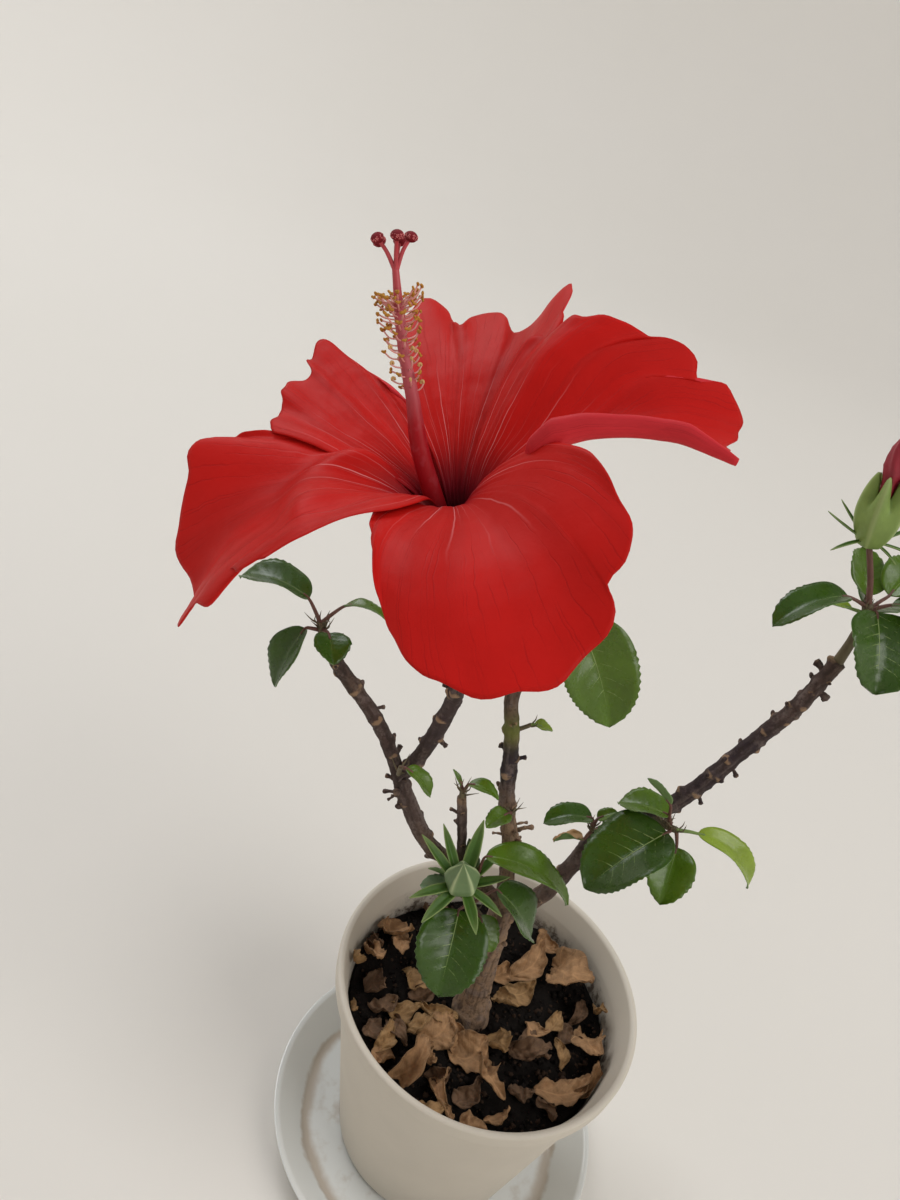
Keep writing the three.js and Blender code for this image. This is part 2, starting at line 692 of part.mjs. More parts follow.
// The calyx follows the petals' undersides, with five lobes that lie under the gaps between them.
function bloomCalyx() {
  const { sides, tube: cup, lobe, under, thick, foot, bracts, bract: length, bractWidth } = CALYX;
  const angles = Array.from({ length: sides }, (_, j) => (360 * j) / sides);
  const lobed = (angle) => abs(cos(2.5 * (angle - BLOOM.petals[0].azimuth - 36) * DEG)) ** 1.5;
  const row = (share, lift) =>
    angles.map((angle) => bloomPoint(angle, share * (cup + lobe * lobed(angle)) - CLEAR, -lift));
  const below = (drop) => vector(BLOOM.base).addScaledVector(bloomAxis, -drop);
  const shares = [0, 0.35, 0.7, 1];
  const wall = loft([
    ...foot.map(([drop, radius]) => ring(below(drop), bloomSide, bloomBack, radius, sides)),
    ...shares.map((share) => row(share, under + thick)),
    ...shares.toReversed().map((share) => row(share, under)),
  ]);
  return joined([wall, ...bractsRound(below(5.5), bloomAxis, bracts, length, bractWidth, 3.6)]);
}

function staminalColumn() {
  const { path, radii, stamens, stamensAt, filament, filamentRadius, anther } = COLUMN;
  const points = path.map(vector);
  const curve = new THREE.CatmullRomCurve3(points);
  const pieces = [tube(points, (share) => mix(...radii, share), 8, 6)];
  for (let i = 0; i < stamens; i++) {
    const share = mix(...stamensAt, sqrt((i + 0.5) / stamens));
    const root = curve.getPointAt(share);
    const along = curve.getTangentAt(share);
    const side = sideOf(along).applyAxisAngle(along, i * SPIRAL * DEG);
    const tip = root.clone().addScaledVector(side, filament).addScaledVector(along, filament * 0.45);
    pieces.push(rod([root, tip], filamentRadius, 3));
    pieces.push(bodyOf(new THREE.OctahedronGeometry(anther).translate(...tip.toArray())));
  }
  return joined(pieces);
}

function styleBranches() {
  const { fork, radius, branches, branchRadius, reach, spread, stigma } = STYLE;
  const start = vector(COLUMN.path.at(-1));
  const top = vector(fork);
  const along = top.clone().sub(start).normalize();
  const style = [start.addScaledVector(along, CLEAR), top.clone().addScaledVector(along, radius)];
  const pieces = [rod(style, radius, 6)];
  for (let i = 0; i < branches; i++) {
    const out = sideOf(along).applyAxisAngle(along, (i * 360 * DEG) / branches);
    const ahead = along.clone().multiplyScalar(cos(spread * DEG));
    const tip = top.clone().addScaledVector(ahead.addScaledVector(out, sin(spread * DEG)), reach);
    pieces.push(rod([top, tip], branchRadius, 3));
    pieces.push(bodyOf(new THREE.IcosahedronGeometry(stigma).translate(...tip.toArray())));
  }
  return joined(pieces);
}

// Buds: a ribbed calyx on a ring of bracts, with the rolled petals standing out of it where it has opened.
const budShape = (share) => sin(PI * clamp(0.12 + 0.85 * share)) ** 0.7;

function budRing({ base, axis, length, radius }, share, scale, lobes, twist) {
  const along = vector(axis).normalize();
  const centre = vector(base).addScaledVector(along, share * length);
  return Array.from({ length: BUD_SIDES }, (_, j) => {
    const angle = (2 * PI * j) / BUD_SIDES;
    const reach = radius * scale * (1 + lobes * cos(5 * angle + twist));
    return centre.clone().addScaledVector(sideOf(along).applyAxisAngle(along, angle), reach);
  });
}

function budCalyx(bud) {
  const along = vector(bud.axis).normalize();
  const top = bud.open ? 0.86 : 0.99;
  const outside = [0, 0.12, 0.3, 0.55, 0.75, top].map((share) => budRing(bud, share, budShape(share), 0.1, 0));
  const hollow = bud.open ? [top, 0.6] : [];
  const inside = hollow.map((share) => budRing(bud, share, budShape(share) - 0.16, 0.05, 0));
  const root = vector(bud.base).addScaledVector(along, 1.2);
  const bracts = bractsRound(root, along, bud.bracts, bud.bract, bud.bractWidth, 2);
  return joined([loft([...outside, ...inside]), ...bracts]);
}

function budPetals(bud) {
  const shares = [0.62, 0.86, 1.05, 1.28, 1.45];
  const scales = [0.4, 0.36, 0.48, 0.38, 0.1];
  return loft(shares.map((share, i) => budRing(bud, share, scales[i], 0.12, i * 0.5)));
}

// Masses of leaves.
function mass({ stem, radii, from, leaves }, limbs, obstacles) {
  const path = stem.map(vector);
  const curve = new THREE.CatmullRomCurve3(path);
  const stalk = cutClear(
    tube(path, (share) => mix(...radii, share), 6, 5),
    from.map((name) => limbs[name]),
  );
  const grown = leaves.map((spec) => leaf(curve.getPointAt(spec.at), spec));
  return joined([stalk, ...grown.filter((one) => !touches(one, obstacles))]);
}

function build() {
  const trunk = bark(TRUNK).trimByPlane([0, 0, 1], SOIL.top + CLEAR);
  const limbs = { trunk: bark(TRUNK, CLEAR) };
  for (const [name, bough] of Object.entries(BOUGHS)) limbs[name] = bark(bough, CLEAR);

  place("saucer", saucer(), COLOURS.saucer);
  place("pot", pot(), COLOURS.pot);
  place("soil", joined([soilBed(), ...litter(limbs.trunk)]), COLOURS.soil);
  place("trunk", trunk, COLOURS.trunkBark);
  for (const [name, bough] of Object.entries(BOUGHS)) {
    const others = bough.from.map((other) => limbs[other]);
    place(name, cutClear(bark(bough), others), COLOURS.bark);
  }

  for (const one of BLOOM.petals) place(one.name, petal(one), COLOURS.petal);
  place("bloom_calyx", bloomCalyx(), COLOURS.calyx);
  const stalk = tube(STALK.path.map(vector), (share) => mix(...STALK.radii, share), 8, 5);
  place("bloom_stalk", stalk, COLOURS.calyx);
  place("staminal_column", staminalColumn(), COLOURS.filament);
  place("style_branches", styleBranches(), COLOURS.stigma);

  const { right, low } = BUDS;
  place("right_bud_calyx", budCalyx(right), COLOURS.calyx);
  place("right_bud_petals", budPetals(right), COLOURS.budRed);
  place("right_bud_stalk", tube(right.stalk.map(vector), () => 0.9, 6, 5), COLOURS.calyx);
  place("low_bud", budCalyx(low), COLOURS.calyx);

  const obstacles = Object.values(limbs);
  for (const [name, spec] of Object.entries(MASSES)) place(name, mass(spec, limbs, obstacles), COLOURS.leaf);
}

build();

export default group;
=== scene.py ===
# A small potted hibiscus with one open bloom, dressed around its solid model.
# Sizes of the plant are in millimetres, as in the solid model. Looks, lights and camera are in metres.
# A direction is an azimuth, turned from +X towards +Y, and a rise above the level, both in degrees.

import bpy
import numpy as np
from mathutils import Matrix, Vector


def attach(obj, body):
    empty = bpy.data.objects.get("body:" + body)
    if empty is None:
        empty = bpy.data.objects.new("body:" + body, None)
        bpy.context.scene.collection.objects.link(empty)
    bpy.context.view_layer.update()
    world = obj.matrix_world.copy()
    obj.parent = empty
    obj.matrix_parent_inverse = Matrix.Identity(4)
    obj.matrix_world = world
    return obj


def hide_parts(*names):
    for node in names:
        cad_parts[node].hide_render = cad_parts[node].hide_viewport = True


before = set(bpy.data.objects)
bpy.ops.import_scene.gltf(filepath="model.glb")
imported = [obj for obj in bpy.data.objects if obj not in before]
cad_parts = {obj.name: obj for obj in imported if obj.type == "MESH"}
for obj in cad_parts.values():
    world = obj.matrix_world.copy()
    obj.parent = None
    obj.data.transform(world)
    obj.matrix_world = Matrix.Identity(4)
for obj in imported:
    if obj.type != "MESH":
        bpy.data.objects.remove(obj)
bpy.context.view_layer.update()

MM = 0.001
DEG = np.pi / 180
UP = np.array([0.0, 0.0, 1.0])
SPIRAL = 137.5  # degrees from one leaf, stamen or scar to the next round a stem

# The vessel and its fill, as in the solid model. The soil is level within a distance of the axis, and its
# lumps grow over a distance beyond.
SAUCER = dict(rim=71, base=57, height=14, wall=2.4, floor=2.5)
POT = dict(rim=60, base=41, top=106, wall=2.8, floor=4, lip=8, proud=1.6, foot=2.8)
SOIL = dict(top=86.7, lump=1.4, level=14, beyond=12, crumbs=1500)
ROUND_SIDES = 144
# Dry leaves on the soil: x, y, azimuth, length, width, rise, roll of each half, tint.
LITTER = [
    (-39, 23, -49, 22, 13, 38, 55, 0), (-44, 6, -81, 25, 8, 40, 105, 0), (-51, 0, -95, 22, 7, 58, 90, 2),
    (-27, 3, -20, 17, 13, 22, 85, 2), (-30, -9, 3, 19, 7, 10, 110, 2), (-16, -8, -5, 18, 7, 14, 110, 2),
    (-16, -15, 47, 19, 11, 18, 75, 0), (-28, -20, -69, 15, 6, 12, 110, 1),
    (-33, -31, -6, 10, 7, 12, 60, 0), (-23, -31, 54, 22, 13, 24, 95, 0),
    (-15, -26, -75, 17, 7, 30, 100, 0), (-2, -20, 39, 18, 15, 20, 65, 0),
    (11, -14, -84, 15, 10, 16, 55, 2), (22, -13, -6, 18, 9, 24, 65, 1), (9, -29, -68, 23, 10, 18, 75, 0),
    (-6, -40, -86, 25, 8, 16, 100, 0), (4, -48, -17, 13, 10, 20, 60, 0), (37, -22, 19, 27, 9, 12, 85, 0),
    (47, -7, -96, 21, 11, 42, 65, 0), (37, 23, -40, 21, 15, 30, 75, 0), (38, 0, -32, 13, 7, 20, 85, 1),
    (15, 13, 33, 17, 8, 22, 95, 2), (11, 5, -30, 12, 7, 25, 85, 2), (16, 27, 52, 27, 9, 16, 95, 0),
    (5, 19, 52, 13, 9, 22, 75, 0), (49, 8, -89, 17, 4, 60, 60, 2), (25, -10, -69, 23, 7, 20, 80, 1),
    (-48, -19, -82, 11, 5, 45, 80, 2), (-24, -1, 54, 14, 9, 32, 75, 1), (-8, 34, 15, 20, 10, 14, 80, 0),
    (-24, 38, -30, 18, 10, 20, 80, 1), (26, 40, -50, 17, 9, 15, 80, 0), (-38, -12, 30, 14, 7, 24, 90, 1),
    (30, -34, 130, 11, 6, 10, 90, 1), (-40, -2, -60, 18, 9, 30, 95, 1),
    (-34, 14, -100, 18, 8, 34, 100, 0), (-22, -16, 20, 14, 8, 26, 90, 2),
    (-38, -22, -40, 12, 7, 20, 80, 1), (44, -20, 70, 18, 8, 34, 85, 0), (0, -36, 60, 15, 9, 20, 90, 1),
    (-10, -16, 100, 14, 7, 26, 95, 0), (20, -30, 10, 12, 6, 16, 90, 1), (-20, 10, 20, 16, 8, 28, 85, 1),
    (40, 10, 60, 13, 6, 20, 100, 1), (24, -2, -20, 12, 6, 22, 95, 0), (33, -10, 100, 12, 5, 24, 100, 2),
    (12, -42, 30, 12, 6, 18, 95, 0), (-12, -47, 10, 13, 7, 26, 95, 2), (30, 2, 70, 10, 5, 15, 100, 2),
    (-45, 14, -70, 16, 7, 40, 100, 1), (-35, -25, 80, 13, 6, 24, 100, 2),
    (-12, -32, 30, 12, 6, 20, 100, 1),
]

# Limbs: path, radii at root and tip, and how many leaf scars the bark has. crowd under 1 draws the scars
# towards the tip, and flare widens the foot. tone runs along the limb from -1, nearly black, past 0, dark
# brown, to 1, tan. green is where the bark is olive, and how far that spreads, as shares of the length.
# A stub is a dead twig or bud: (share, azimuth, rise, length, radius).
TRUNK = dict(
    path=[(-2.6, -2.6, 84), (-3.6, -1.8, 95), (-4.7, -1, 114.6), (-6.4, 0, 143), (-6.9, 0.6, 148)],
    radii=(5.6, 4.4),
    flare=2.2,
    scars=7,
    tone=[(0, 1), (1, 0.7)],
)
BOUGHS = dict(
    centre_bough=dict(
        path=[
            (-6.8, 0.4, 146), (-9, 3.2, 160), (-12.7, 4, 176.8), (-19, 3, 195.5), (-25.3, 2, 224),
            (-29.7, 2, 239.5), (-28.4, 5, 253),
        ],
        radii=(3.1, 2.3),
        scars=13,
        tone=[(0, 0.9), (0.42, 0.8), (0.53, 0.3), (0.58, -1), (0.68, -1), (0.72, 0.4), (1, 0.4)],
        green=(0.76, 0.05),
        stubs=[
            (0.33, 178, 30, 5, 0.9), (0.32, 5, 35, 5.5, 0.9), (0.34, -60, 20, 2, 1),
            (0.65, 170, 30, 1.8, 0.9), (0.63, 5, 30, 2.2, 0.9), (0.3, 200, 15, 4, 0.5),
            (0.35, 150, 55, 4, 0.5), (0.31, -15, 60, 4.5, 0.5), (0.35, 25, 10, 3.5, 0.5),
            (0.29, -50, 40, 3, 0.6),
        ],
    ),
    right_bough_lower=dict(
        path=[
            (-7, 0, 143), (4.8, 4, 153.3), (12.8, 8, 171.5), (16.9, 10, 183.8), (25.3, 12, 194.5),
            (35.4, 13, 203.6),
        ],
        radii=(3.3, 2.8),
        scars=11,
        tone=[(0, 0.5), (0.3, 0.3), (0.6, -0.2), (1, -0.3)],
        stubs=[(0.93, 100, 45, 3, 1), (0.97, -30, -30, 2.2, 1.1), (0.9, 150, 60, 2, 1)],
    ),
    right_bough_upper=dict(
        path=[
            (34.4, 12.9, 202.6), (40.2, 14, 211.8), (52.7, 16, 240.8), (59.2, 17, 257.2),
            (63.6, 18, 275.3),
        ],
        radii=(2.8, 2.4),
        scars=26,
        crowd=0.75,
        tone=[(0, -0.4), (0.5, -0.6), (0.8, 0.1), (1, 0.2)],
        stubs=[
            (0.18, -60, -30, 2.4, 0.8), (0.37, -50, -25, 2.2, 0.8), (0.86, -30, -20, 1.8, 1.2),
            (0.93, 140, 20, 2, 1.2),
        ],
    ),
    left_bough_lower=dict(
        path=[
            (-6, 0.4, 145), (-15, 1, 152.5), (-26.3, 0, 160.6), (-39.3, -2, 169.5), (-53.7, -3, 192.1),
            (-57, -3, 199),
        ],
        radii=(3.1, 2.6),
        scars=9,
        tone=[(0, 0.5), (0.6, 0.4), (0.75, 0), (1, -0.1)],
        stubs=[
            (0.93, 195, 30, 4, 0.9), (0.87, 185, -5, 4.5, 0.8), (0.9, 240, 20, 2, 1.1),
            (0.84, 205, 20, 3.4, 0.5), (0.9, 165, 50, 3.5, 0.5), (0.89, 215, -25, 3, 0.5),
            (0.96, -70, 40, 3.4, 0.6), (0.97, 20, 40, 3, 0.6),
        ],
    ),
    left_bough_upper=dict(
        path=[(-56.4, -3, 197.4), (-67.6, -3, 216.7), (-85.7, -3, 236.4), (-90, -3, 243)],
        radii=(2.5, 2.1),
        scars=12,
        tone=[(0, -0.2), (0.5, 0), (1, 0.3)],
        stubs=[(0.5, 20, 20, 1.8, 0.8), (0.12, 80, 50, 2.6, 1)],
    ),
    bloom_bough=dict(
        path=[
            (-56.5, -3, 197), (-52.3, -5, 209.7), (-49.2, -8, 226.2), (-47.3, -12, 243.1),
            (-47.5, -17.5, 256),
        ],
        radii=(2.5, 2.3),
        scars=12,
        tone=[(0, -0.3), (1, -0.5)],
        stubs=[(0.42, -20, -10, 2.4, 1), (0.8, 170, 20, 2, 0.8), (0.08, 0, -20, 3.5, 0.4)],
    ),
    short_stub=dict(
        path=[(-26.5, 0, 160.5), (-29, -1, 174), (-34.3, -1, 194.6)],
        radii=(1.8, 1.5),
        scars=7,
        tone=[(0, 0.1), (0.7, -0.2), (1, 0.8)],
        stubs=[(0.75, 190, 30, 3, 0.6), (0.98, 150, 70, 4, 0.5)],
    ),
)

# The bloom: a funnel whose slope falls from the throat's to one at mid-length and one at the rim, given
# at each petal and midway to the next. A petal's borders are places, (degrees from its middle, distance
# up from the claw): its clockwise side, its rim and its counter-clockwise side. A swell is (degrees,
# distance, their spreads, height). A crest is a line of places along which the petal arches over. A hem
# is how wide the clockwise side rolls up, at shares of that side.
BLOOM = dict(
    base=(-58.4, -34.9, 301.5),
    axis=(-0.355, 0.066, 0.933),
    claw=3.4,
    throat_slope=86,
    reach=82,
    opened=0.42,
    droops=0.35,
    slopes=[
        (3, -43), (32, -20), (23, -22), (49, 27), (43, 9),
        (41, 11), (31, 25), (27, 1), (11, -55), (16, -53),
    ],
    overlap=1,
    thick=0.4,
)
PETALS = [
    dict(
        name="petal_front",
        azimuth=-70,
        before=[(-12, 0), (-26, 3), (-37, 14), (-46, 24), (-46, 34)],
        rim=[
            (-40, 42), (-35, 50), (-30, 58), (-25, 70), (-19, 78), (-13, 82), (-7, 84), (-3, 83), (4, 84),
            (9, 82), (15, 80), (16, 75), (20, 77), (23, 74), (27, 65), (33, 55), (40, 46),
        ],
        after=[(12, 0), (26, 3), (38, 12), (46, 22), (46, 34)],
    ),
    dict(
        name="petal_right",
        azimuth=7,
        before=[(-12, 0), (-26, 3), (-38, 14), (-44, 26), (-41, 40), (-32, 52), (-26, 64), (-27, 75)],
        rim=[
            (-29, 83), (-21, 81), (-12, 79), (-3, 80), (7, 86), (11, 85), (11.5, 79), (15, 81), (18, 78),
            (19, 72), (26, 69), (36, 63), (44, 60), (50, 56),
        ],
        after=[(12, 0), (26, 3), (38, 14), (46, 25), (51, 40)],
        hem=[(0, 0.3), (0.52, 0.3), (0.56, 6), (0.62, 9), (0.75, 6.5), (0.88, 6), (1, 2)],
    ),
    dict(
        name="petal_back",
        azimuth=71,
        before=[(-12, 0), (-26, 3), (-36, 14), (-40, 28), (-38, 45)],
        rim=[
            (-30, 58), (-25, 64), (-20, 69), (-17, 74), (-14, 80), (-11, 83), (-8, 80), (-4, 74), (1, 69),
            (6, 75), (12, 79), (16, 77), (19, 69), (21, 72), (24, 82), (29, 86), (33, 82), (38, 72),
            (41, 62),
        ],
        after=[(12, 0), (26, 3), (36, 14), (44, 28), (44, 45)],
        swells=[(-11, 83, 6, 12, 3.2), (28, 86, 9, 14, 3)],
    ),
    dict(
        name="petal_back_left",
        azimuth=137,
        before=[(-12, 0), (-26, 3), (-34, 14), (-36, 25), (-28, 36)],
        rim=[
            (-18, 46), (-14, 52), (-13, 60), (-11, 63), (-9, 71), (-5, 75), (2, 70), (6, 65), (12, 66),
            (17, 65), (23, 60), (28, 60), (36, 57),
        ],
        after=[(12, 0), (35, 3), (41, 14), (44, 24), (44, 34), (41, 42), (38, 50)],
    ),
    dict(
        name="petal_left",
        azimuth=201,
        before=[(-12, 0), (-34, 3), (-40, 14), (-40, 26), (-36, 36), (-33, 46)],
        rim=[
            (-30, 57), (-28, 63), (-26, 73), (-23, 76), (-17, 77), (-11, 81), (-7, 82), (-3, 82), (1, 83),
            (3, 88), (6, 88), (8, 82), (12, 79), (17, 77), (18, 69), (26, 67), (32, 64),
        ],
        after=[(12, 0), (30, 4), (48, 11), (60, 20), (63, 31), (58, 41), (47, 49), (39, 57)],
        crest=[(-40, 31), (-24, 34), (-15, 37), (-8, 41), (8, 44), (26, 49), (45, 58)],
    ),
]
CALYX = dict(
    tube=10, lobe=10, under=3.4, thick=0.7, foot=[(8, 1.8), (6, 4.2), (3, 6.2)],
    bracts=7, bract=13, width=1.8,
)
BLOOM_STALK = [(-47.6, -18.4, 256.9), (-48.3, -26, 270), (-51.5, -33.4, 283.5), (-55.4, -35.4, 293.9)]
COLUMN = dict(
    path=[
        (-59.4, -34.9, 301.5), (-66.9, -33.2, 314), (-74.1, -30.6, 325.6),
        (-79, -27, 336), (-83.9, -24, 345.5), (-88, -20.5, 355),
    ],
    radii=[(0, 3.7), (0.05, 3), (0.12, 2.6), (0.25, 2.4), (0.5, 2.1), (0.65, 1.6), (0.8, 1.35), (1, 1.2)],
    stamens=90,
    stamens_at=(0.66, 0.985),
    filament=(3.2, 5.2),
)
STYLE = dict(
    fork=(-90.2, -18.6, 360.6), radius=0.95, branches=5, reach=8, spread=31, stigma=1.55, hairs=110,
)

# Masses of leaves. A leaf leaves its stem at a share of the stem's length, with a stalk, (azimuth, rise,
# length), and a blade, (azimuth, rise, length, width, droop, roll). Its tint is old, mid, young, pale or
# dry. spikes is how many stipules stand along the stem in a tuft.
MASSES = dict(
    left_tip_leaves=dict(
        stem=[(-89.6, -3, 242.2), (-91.8, -3, 246), (-93, -3, 249)],
        spikes=11,
        radii=(1.8, 1.2),
        leaves=[
            (0.9, (160, 48, 8.6), (172, 27, 24.5, 15, 62, 0), "old"),
            (0.6, (-150, 12, 5.5), (-118, -38, 21.5, 14, 50, 20), "old"),
            (0.7, (-50, 18, 4.4), (-62, -8, 11, 12, 30, 0), "old"),
            (0.95, (0, 55, 10.5), (-8, 32, 15, 8, 60, -15), "mid"),
        ],
    ),
    left_fork_leaf=dict(
        stem=[(-57, -3, 198.5), (-57, -8, 203.5), (-57, -12, 210)],
        spikes=4,
        radii=(0.9, 0.7),
        leaves=[(0.95, (-30, 30, 2.5), (-8, -12, 13, 8, 50, 0), "mid")],
    ),
    stub_leaves=dict(
        stem=[(-34.1, -1, 193.6), (-34.8, -1, 198.2)],
        spikes=5,
        radii=(1.2, 0.8),
        leaves=[
            (0.7, (-20, 75, 4.5), (-12, 34, 12, 6.5, 75, 0), "mid"),
            (0.8, (150, 60, 2), (160, 50, 6.5, 2.5, 10, 0), "mid"),
        ],
    ),
    centre_low_leaves=dict(
        stem=[(-18, 3.2, 192), (-16.4, -0.6, 193.8), (-16.2, -2, 195)],
        spikes=6,
        radii=(0.9, 0.7),
        leaves=[(0.9, (-140, 20, 2), (-130, 5, 10.5, 8, 25, 0), "mid")],
    ),
    centre_high_leaf=dict(
        stem=[(-25, 2.2, 226), (-22, 3, 228), (-20.5, 3.2, 229.4)],
        radii=(0.9, 0.7),
        leaves=[(0.9, (10, 20, 1.6), (9, 0, 6.5, 5.5, 20, 0), "young")],
    ),
    centre_tip_leaves=dict(
        stem=[(-28.5, 4.8, 252), (-26, 7, 260), (-22, 9, 266), (-18, 10.5, 270)],
        radii=(2, 1.2),
        leaves=[
            (0.95, (-80, 12, 3), (-31, -38, 35.5, 26, 24, 42), "mid"),
            (0.85, (95, 20, 8), (90, 8, 28, 20, 40, 0), "old"),
            (0.7, (50, 10, 6), (60, 2, 20, 15, 40, 0), "mid"),
            (0.55, (120, -10, 6), (118, -22, 25, 18, 40, 0), "old"),
            (1, (110, 55, 6), (115, 35, 18, 11, 40, 0), "young"),
        ],
    ),
    bloom_shoot_leaves=dict(
        stem=[(-49, -14.5, 251), (-54, -7, 257), (-59, 1, 264)],
        radii=(1.6, 1),
        leaves=[
            (1, (100, 25, 8), (105, 10, 33, 22, 45, 0), "old"),
            (0.9, (145, 35, 5), (140, 20, 18, 13, 40, 0), "mid"),
            (0.85, (55, 20, 6), (50, 5, 24, 16, 35, 0), "old"),
        ],
    ),
    low_cluster_leaves=dict(
        stem=[(-5.5, -1, 132), (-12, -8.6, 146), (-19, -11.5, 156), (-24.6, -13.4, 165)],
        radii=(2, 1.4),
        leaves=[
            (0.8, (-130, -5, 5), (-89, -18, 29, 26, 38, 0), "old"),
            (0.78, (6, 56, 12), (-6, -24, 25, 19, 40, 0), "old"),
            (0.85, (77, 78, 19), (2, 18, 38, 15, 78, 0), "mid"),
            (0.8, (150, 42, 7), (172, 18, 13, 10, 25, 40), "young"),
            (0.85, (-175, 25, 5), (-176, 8, 13, 11, 20, 0), "pale"),
            (0.7, (-30, -15, 3), (-42, -30, 13, 11, 20, 0), "mid"),
            (0.85, (105, 35, 7), (125, 72, 15, 7, 20, 0), "old"),
        ],
    ),
    right_low_leaves=dict(
        stem=[(16.6, 10, 182), (14.2, 9.6, 186.5), (13.4, 9.4, 189.5)],
        spikes=3,
        radii=(1, 0.7),
        leaves=[
            (0.95, (-165, 70, 4), (-168, 12, 18, 11, 62, 0), "old"),
            (0.95, (60, 50, 3), (20, 40, 7.5, 6, 20, 0), "mid"),
            (0.7, (-134, -48, 4.3), (-175, -10, 11, 10, 20, 30), "dry"),
        ],
    ),
    right_mid_leaves=dict(
        stem=[(31, 12.6, 199.3), (34.5, 7, 201.5), (37.8, 2.4, 204.6)],
        spikes=5,
        radii=(1.7, 1.2),
        leaves=[
            (0.8, (150, 60, 4.5), (165, 4, 18, 14, 40, 0), "mid"),
            (0.7, (-160, 72, 11), (165, 35, 12, 6, 10, 60), "old"),
            (0.9, (-140, -20, 2.6), (-143, -20, 34, 29, 28, 6), "old"),
            (1, (-50, -60, 6), (-98, -24, 20, 17, 24, 10), "mid"),
            (1, (-2, 12, 7), (-6, 12, 31, 10, 90, 20), "young"),
        ],
    ),
    right_tip_leaves=dict(
        stem=[(63.4, 17.9, 274.3), (64.2, 18.6, 286), (63.4, 19, 296.4)],
        radii=(1.8, 1.2),
        leaves=[
            (0.95, (-175, 16, 7.5), (-155, 2, 26, 13, 62, 0), "old"),
            (0.9, (-45, 30, 3), (-78, -28, 25, 27, 32, 0), "old"),
            (0.9, (100, 40, 5), (100, 40, 17, 14, 20, 0), "mid"),
            (0.9, (30, 45, 8), (54, 42, 20, 14, 30, 0), "mid"),
            (0.9, (-5, 40, 7), (-30, 30, 21, 14, 40, 0), "old"),
            (0.85, (164, 0, 4), (164, -6, 13, 6, 20, 0), "young"),
            (0.75, (60, 10, 6), (62, 0, 23, 16, 40, 0), "old"),
            (0.6, (5, 0, 5), (5, -12, 22, 15, 35, 0), "old"),
        ],
    ),
)

# Buds: each bract is (azimuth, rise, length, width).
BUD_TURN = 1.92  # radians by which the buds' five ridges are turned
BUDS = dict(
    right=dict(
        stalk=[(63, 19, 297), (60, 19.4, 304), (54.9, 20, 313.8)],
        base=(54.5, 20, 314.2),
        axis=(-0.16, 0.02, 0.97),
        radius=6.2,
        length=23,
        opened=True,
        bracts=[
            (180, 15, 14, 1.5), (205, -14, 11, 1.5), (0, 3, 14, 1.5), (20, 26, 14, 1.5),
            (-38, -10, 8, 1.5), (90, 20, 13, 1.5), (135, 22, 13, 1.5),
        ],
    ),
    low=dict(
        base=(-25.3, -14.1, 166.8),
        axis=(-0.17, -0.17, 0.97),
        radius=5.9,
        length=14.5,
        opened=False,
        bracts=[
            (130, 30, 20, 4), (85, 45, 22, 5), (43, 38, 19, 3.6), (14, 20, 15, 4), (-17, -6, 15, 4),
            (-59, -12, 15, 4.4), (-125, -13, 17, 4.4), (-150, 0, 17, 4), (163, 30, 21, 4.6),
        ],
    ),
)


# Small tools.
def unit(vectors):
    return vectors / np.maximum(np.linalg.norm(vectors, axis=-1, keepdims=True), 1e-9)


def smooth(value):
    """Rises from 0 to 1 as a value does, level at both ends."""
    held = np.clip(value, 0, 1)
    return held * held * (3 - 2 * held)


def mix(low, high, share):
    return low + (high - low) * share


def heading(azimuth, rise):
    level = np.cos(rise * DEG)
    return np.array([level * np.cos(azimuth * DEG), level * np.sin(azimuth * DEG), np.sin(rise * DEG)])


def turned(vectors, axis, angle):
    """Vectors turned about a unit axis by an angle in radians."""
    axis = np.broadcast_to(axis, np.shape(vectors))
    kept = axis * np.sum(axis * vectors, axis=-1, keepdims=True)
    angle = np.asarray(angle)[..., None]
    return vectors * np.cos(angle) + np.cross(axis, vectors) * np.sin(angle) + kept * (1 - np.cos(angle))


def side_of(axis):
    """A unit direction square to an axis, to count angles from."""
    reference = np.array([0.0, 1, 0]) if abs(axis[0]) > 0.9 else np.array([1.0, 0, 0])
    return unit(reference - axis * (reference @ axis))


def circle(sides):
    """Angles all round, in radians."""
    return np.linspace(0, 2 * np.pi, sides, endpoint=False)


def spokes(side, across, angle):
    """Directions at angles, in radians, from a side direction towards an across one."""
    return side * np.cos(angle)[..., None] + across * np.sin(angle)[..., None]


def hashed(cells, seed):
    """A repeatable number from 0 to 1 for each cell of a grid in space. The factors only mix its bits."""
    x, y, z = (cells[..., k].astype(np.uint32) for k in range(3))
    mixed = x * np.uint32(374761393) + y * np.uint32(668265263) + z * np.uint32(2147483647)
    mixed = mixed + np.uint32(seed * 144269 % 2**32)
    mixed = (mixed ^ (mixed >> np.uint32(13))) * np.uint32(1274126177)
    return ((mixed ^ (mixed >> np.uint32(16))) & np.uint32(65535)) / 65535.0


def noise(points, size, seed):
    """Smooth noise from -1 to 1 whose lumps are about as wide as size."""
    scaled = np.asarray(points, float) / size + 1000
    cell = np.floor(scaled).astype(np.int64)
    part = smooth(scaled - cell)
    total = np.zeros(scaled.shape[:-1])
    for corner in range(8):
        offset = np.array([corner & 1, corner >> 1 & 1, corner >> 2 & 1])
        weight = np.prod(np.where(offset, part, 1 - part), axis=-1)
        total += weight * hashed(cell + offset, seed)
    return 2 * total - 1


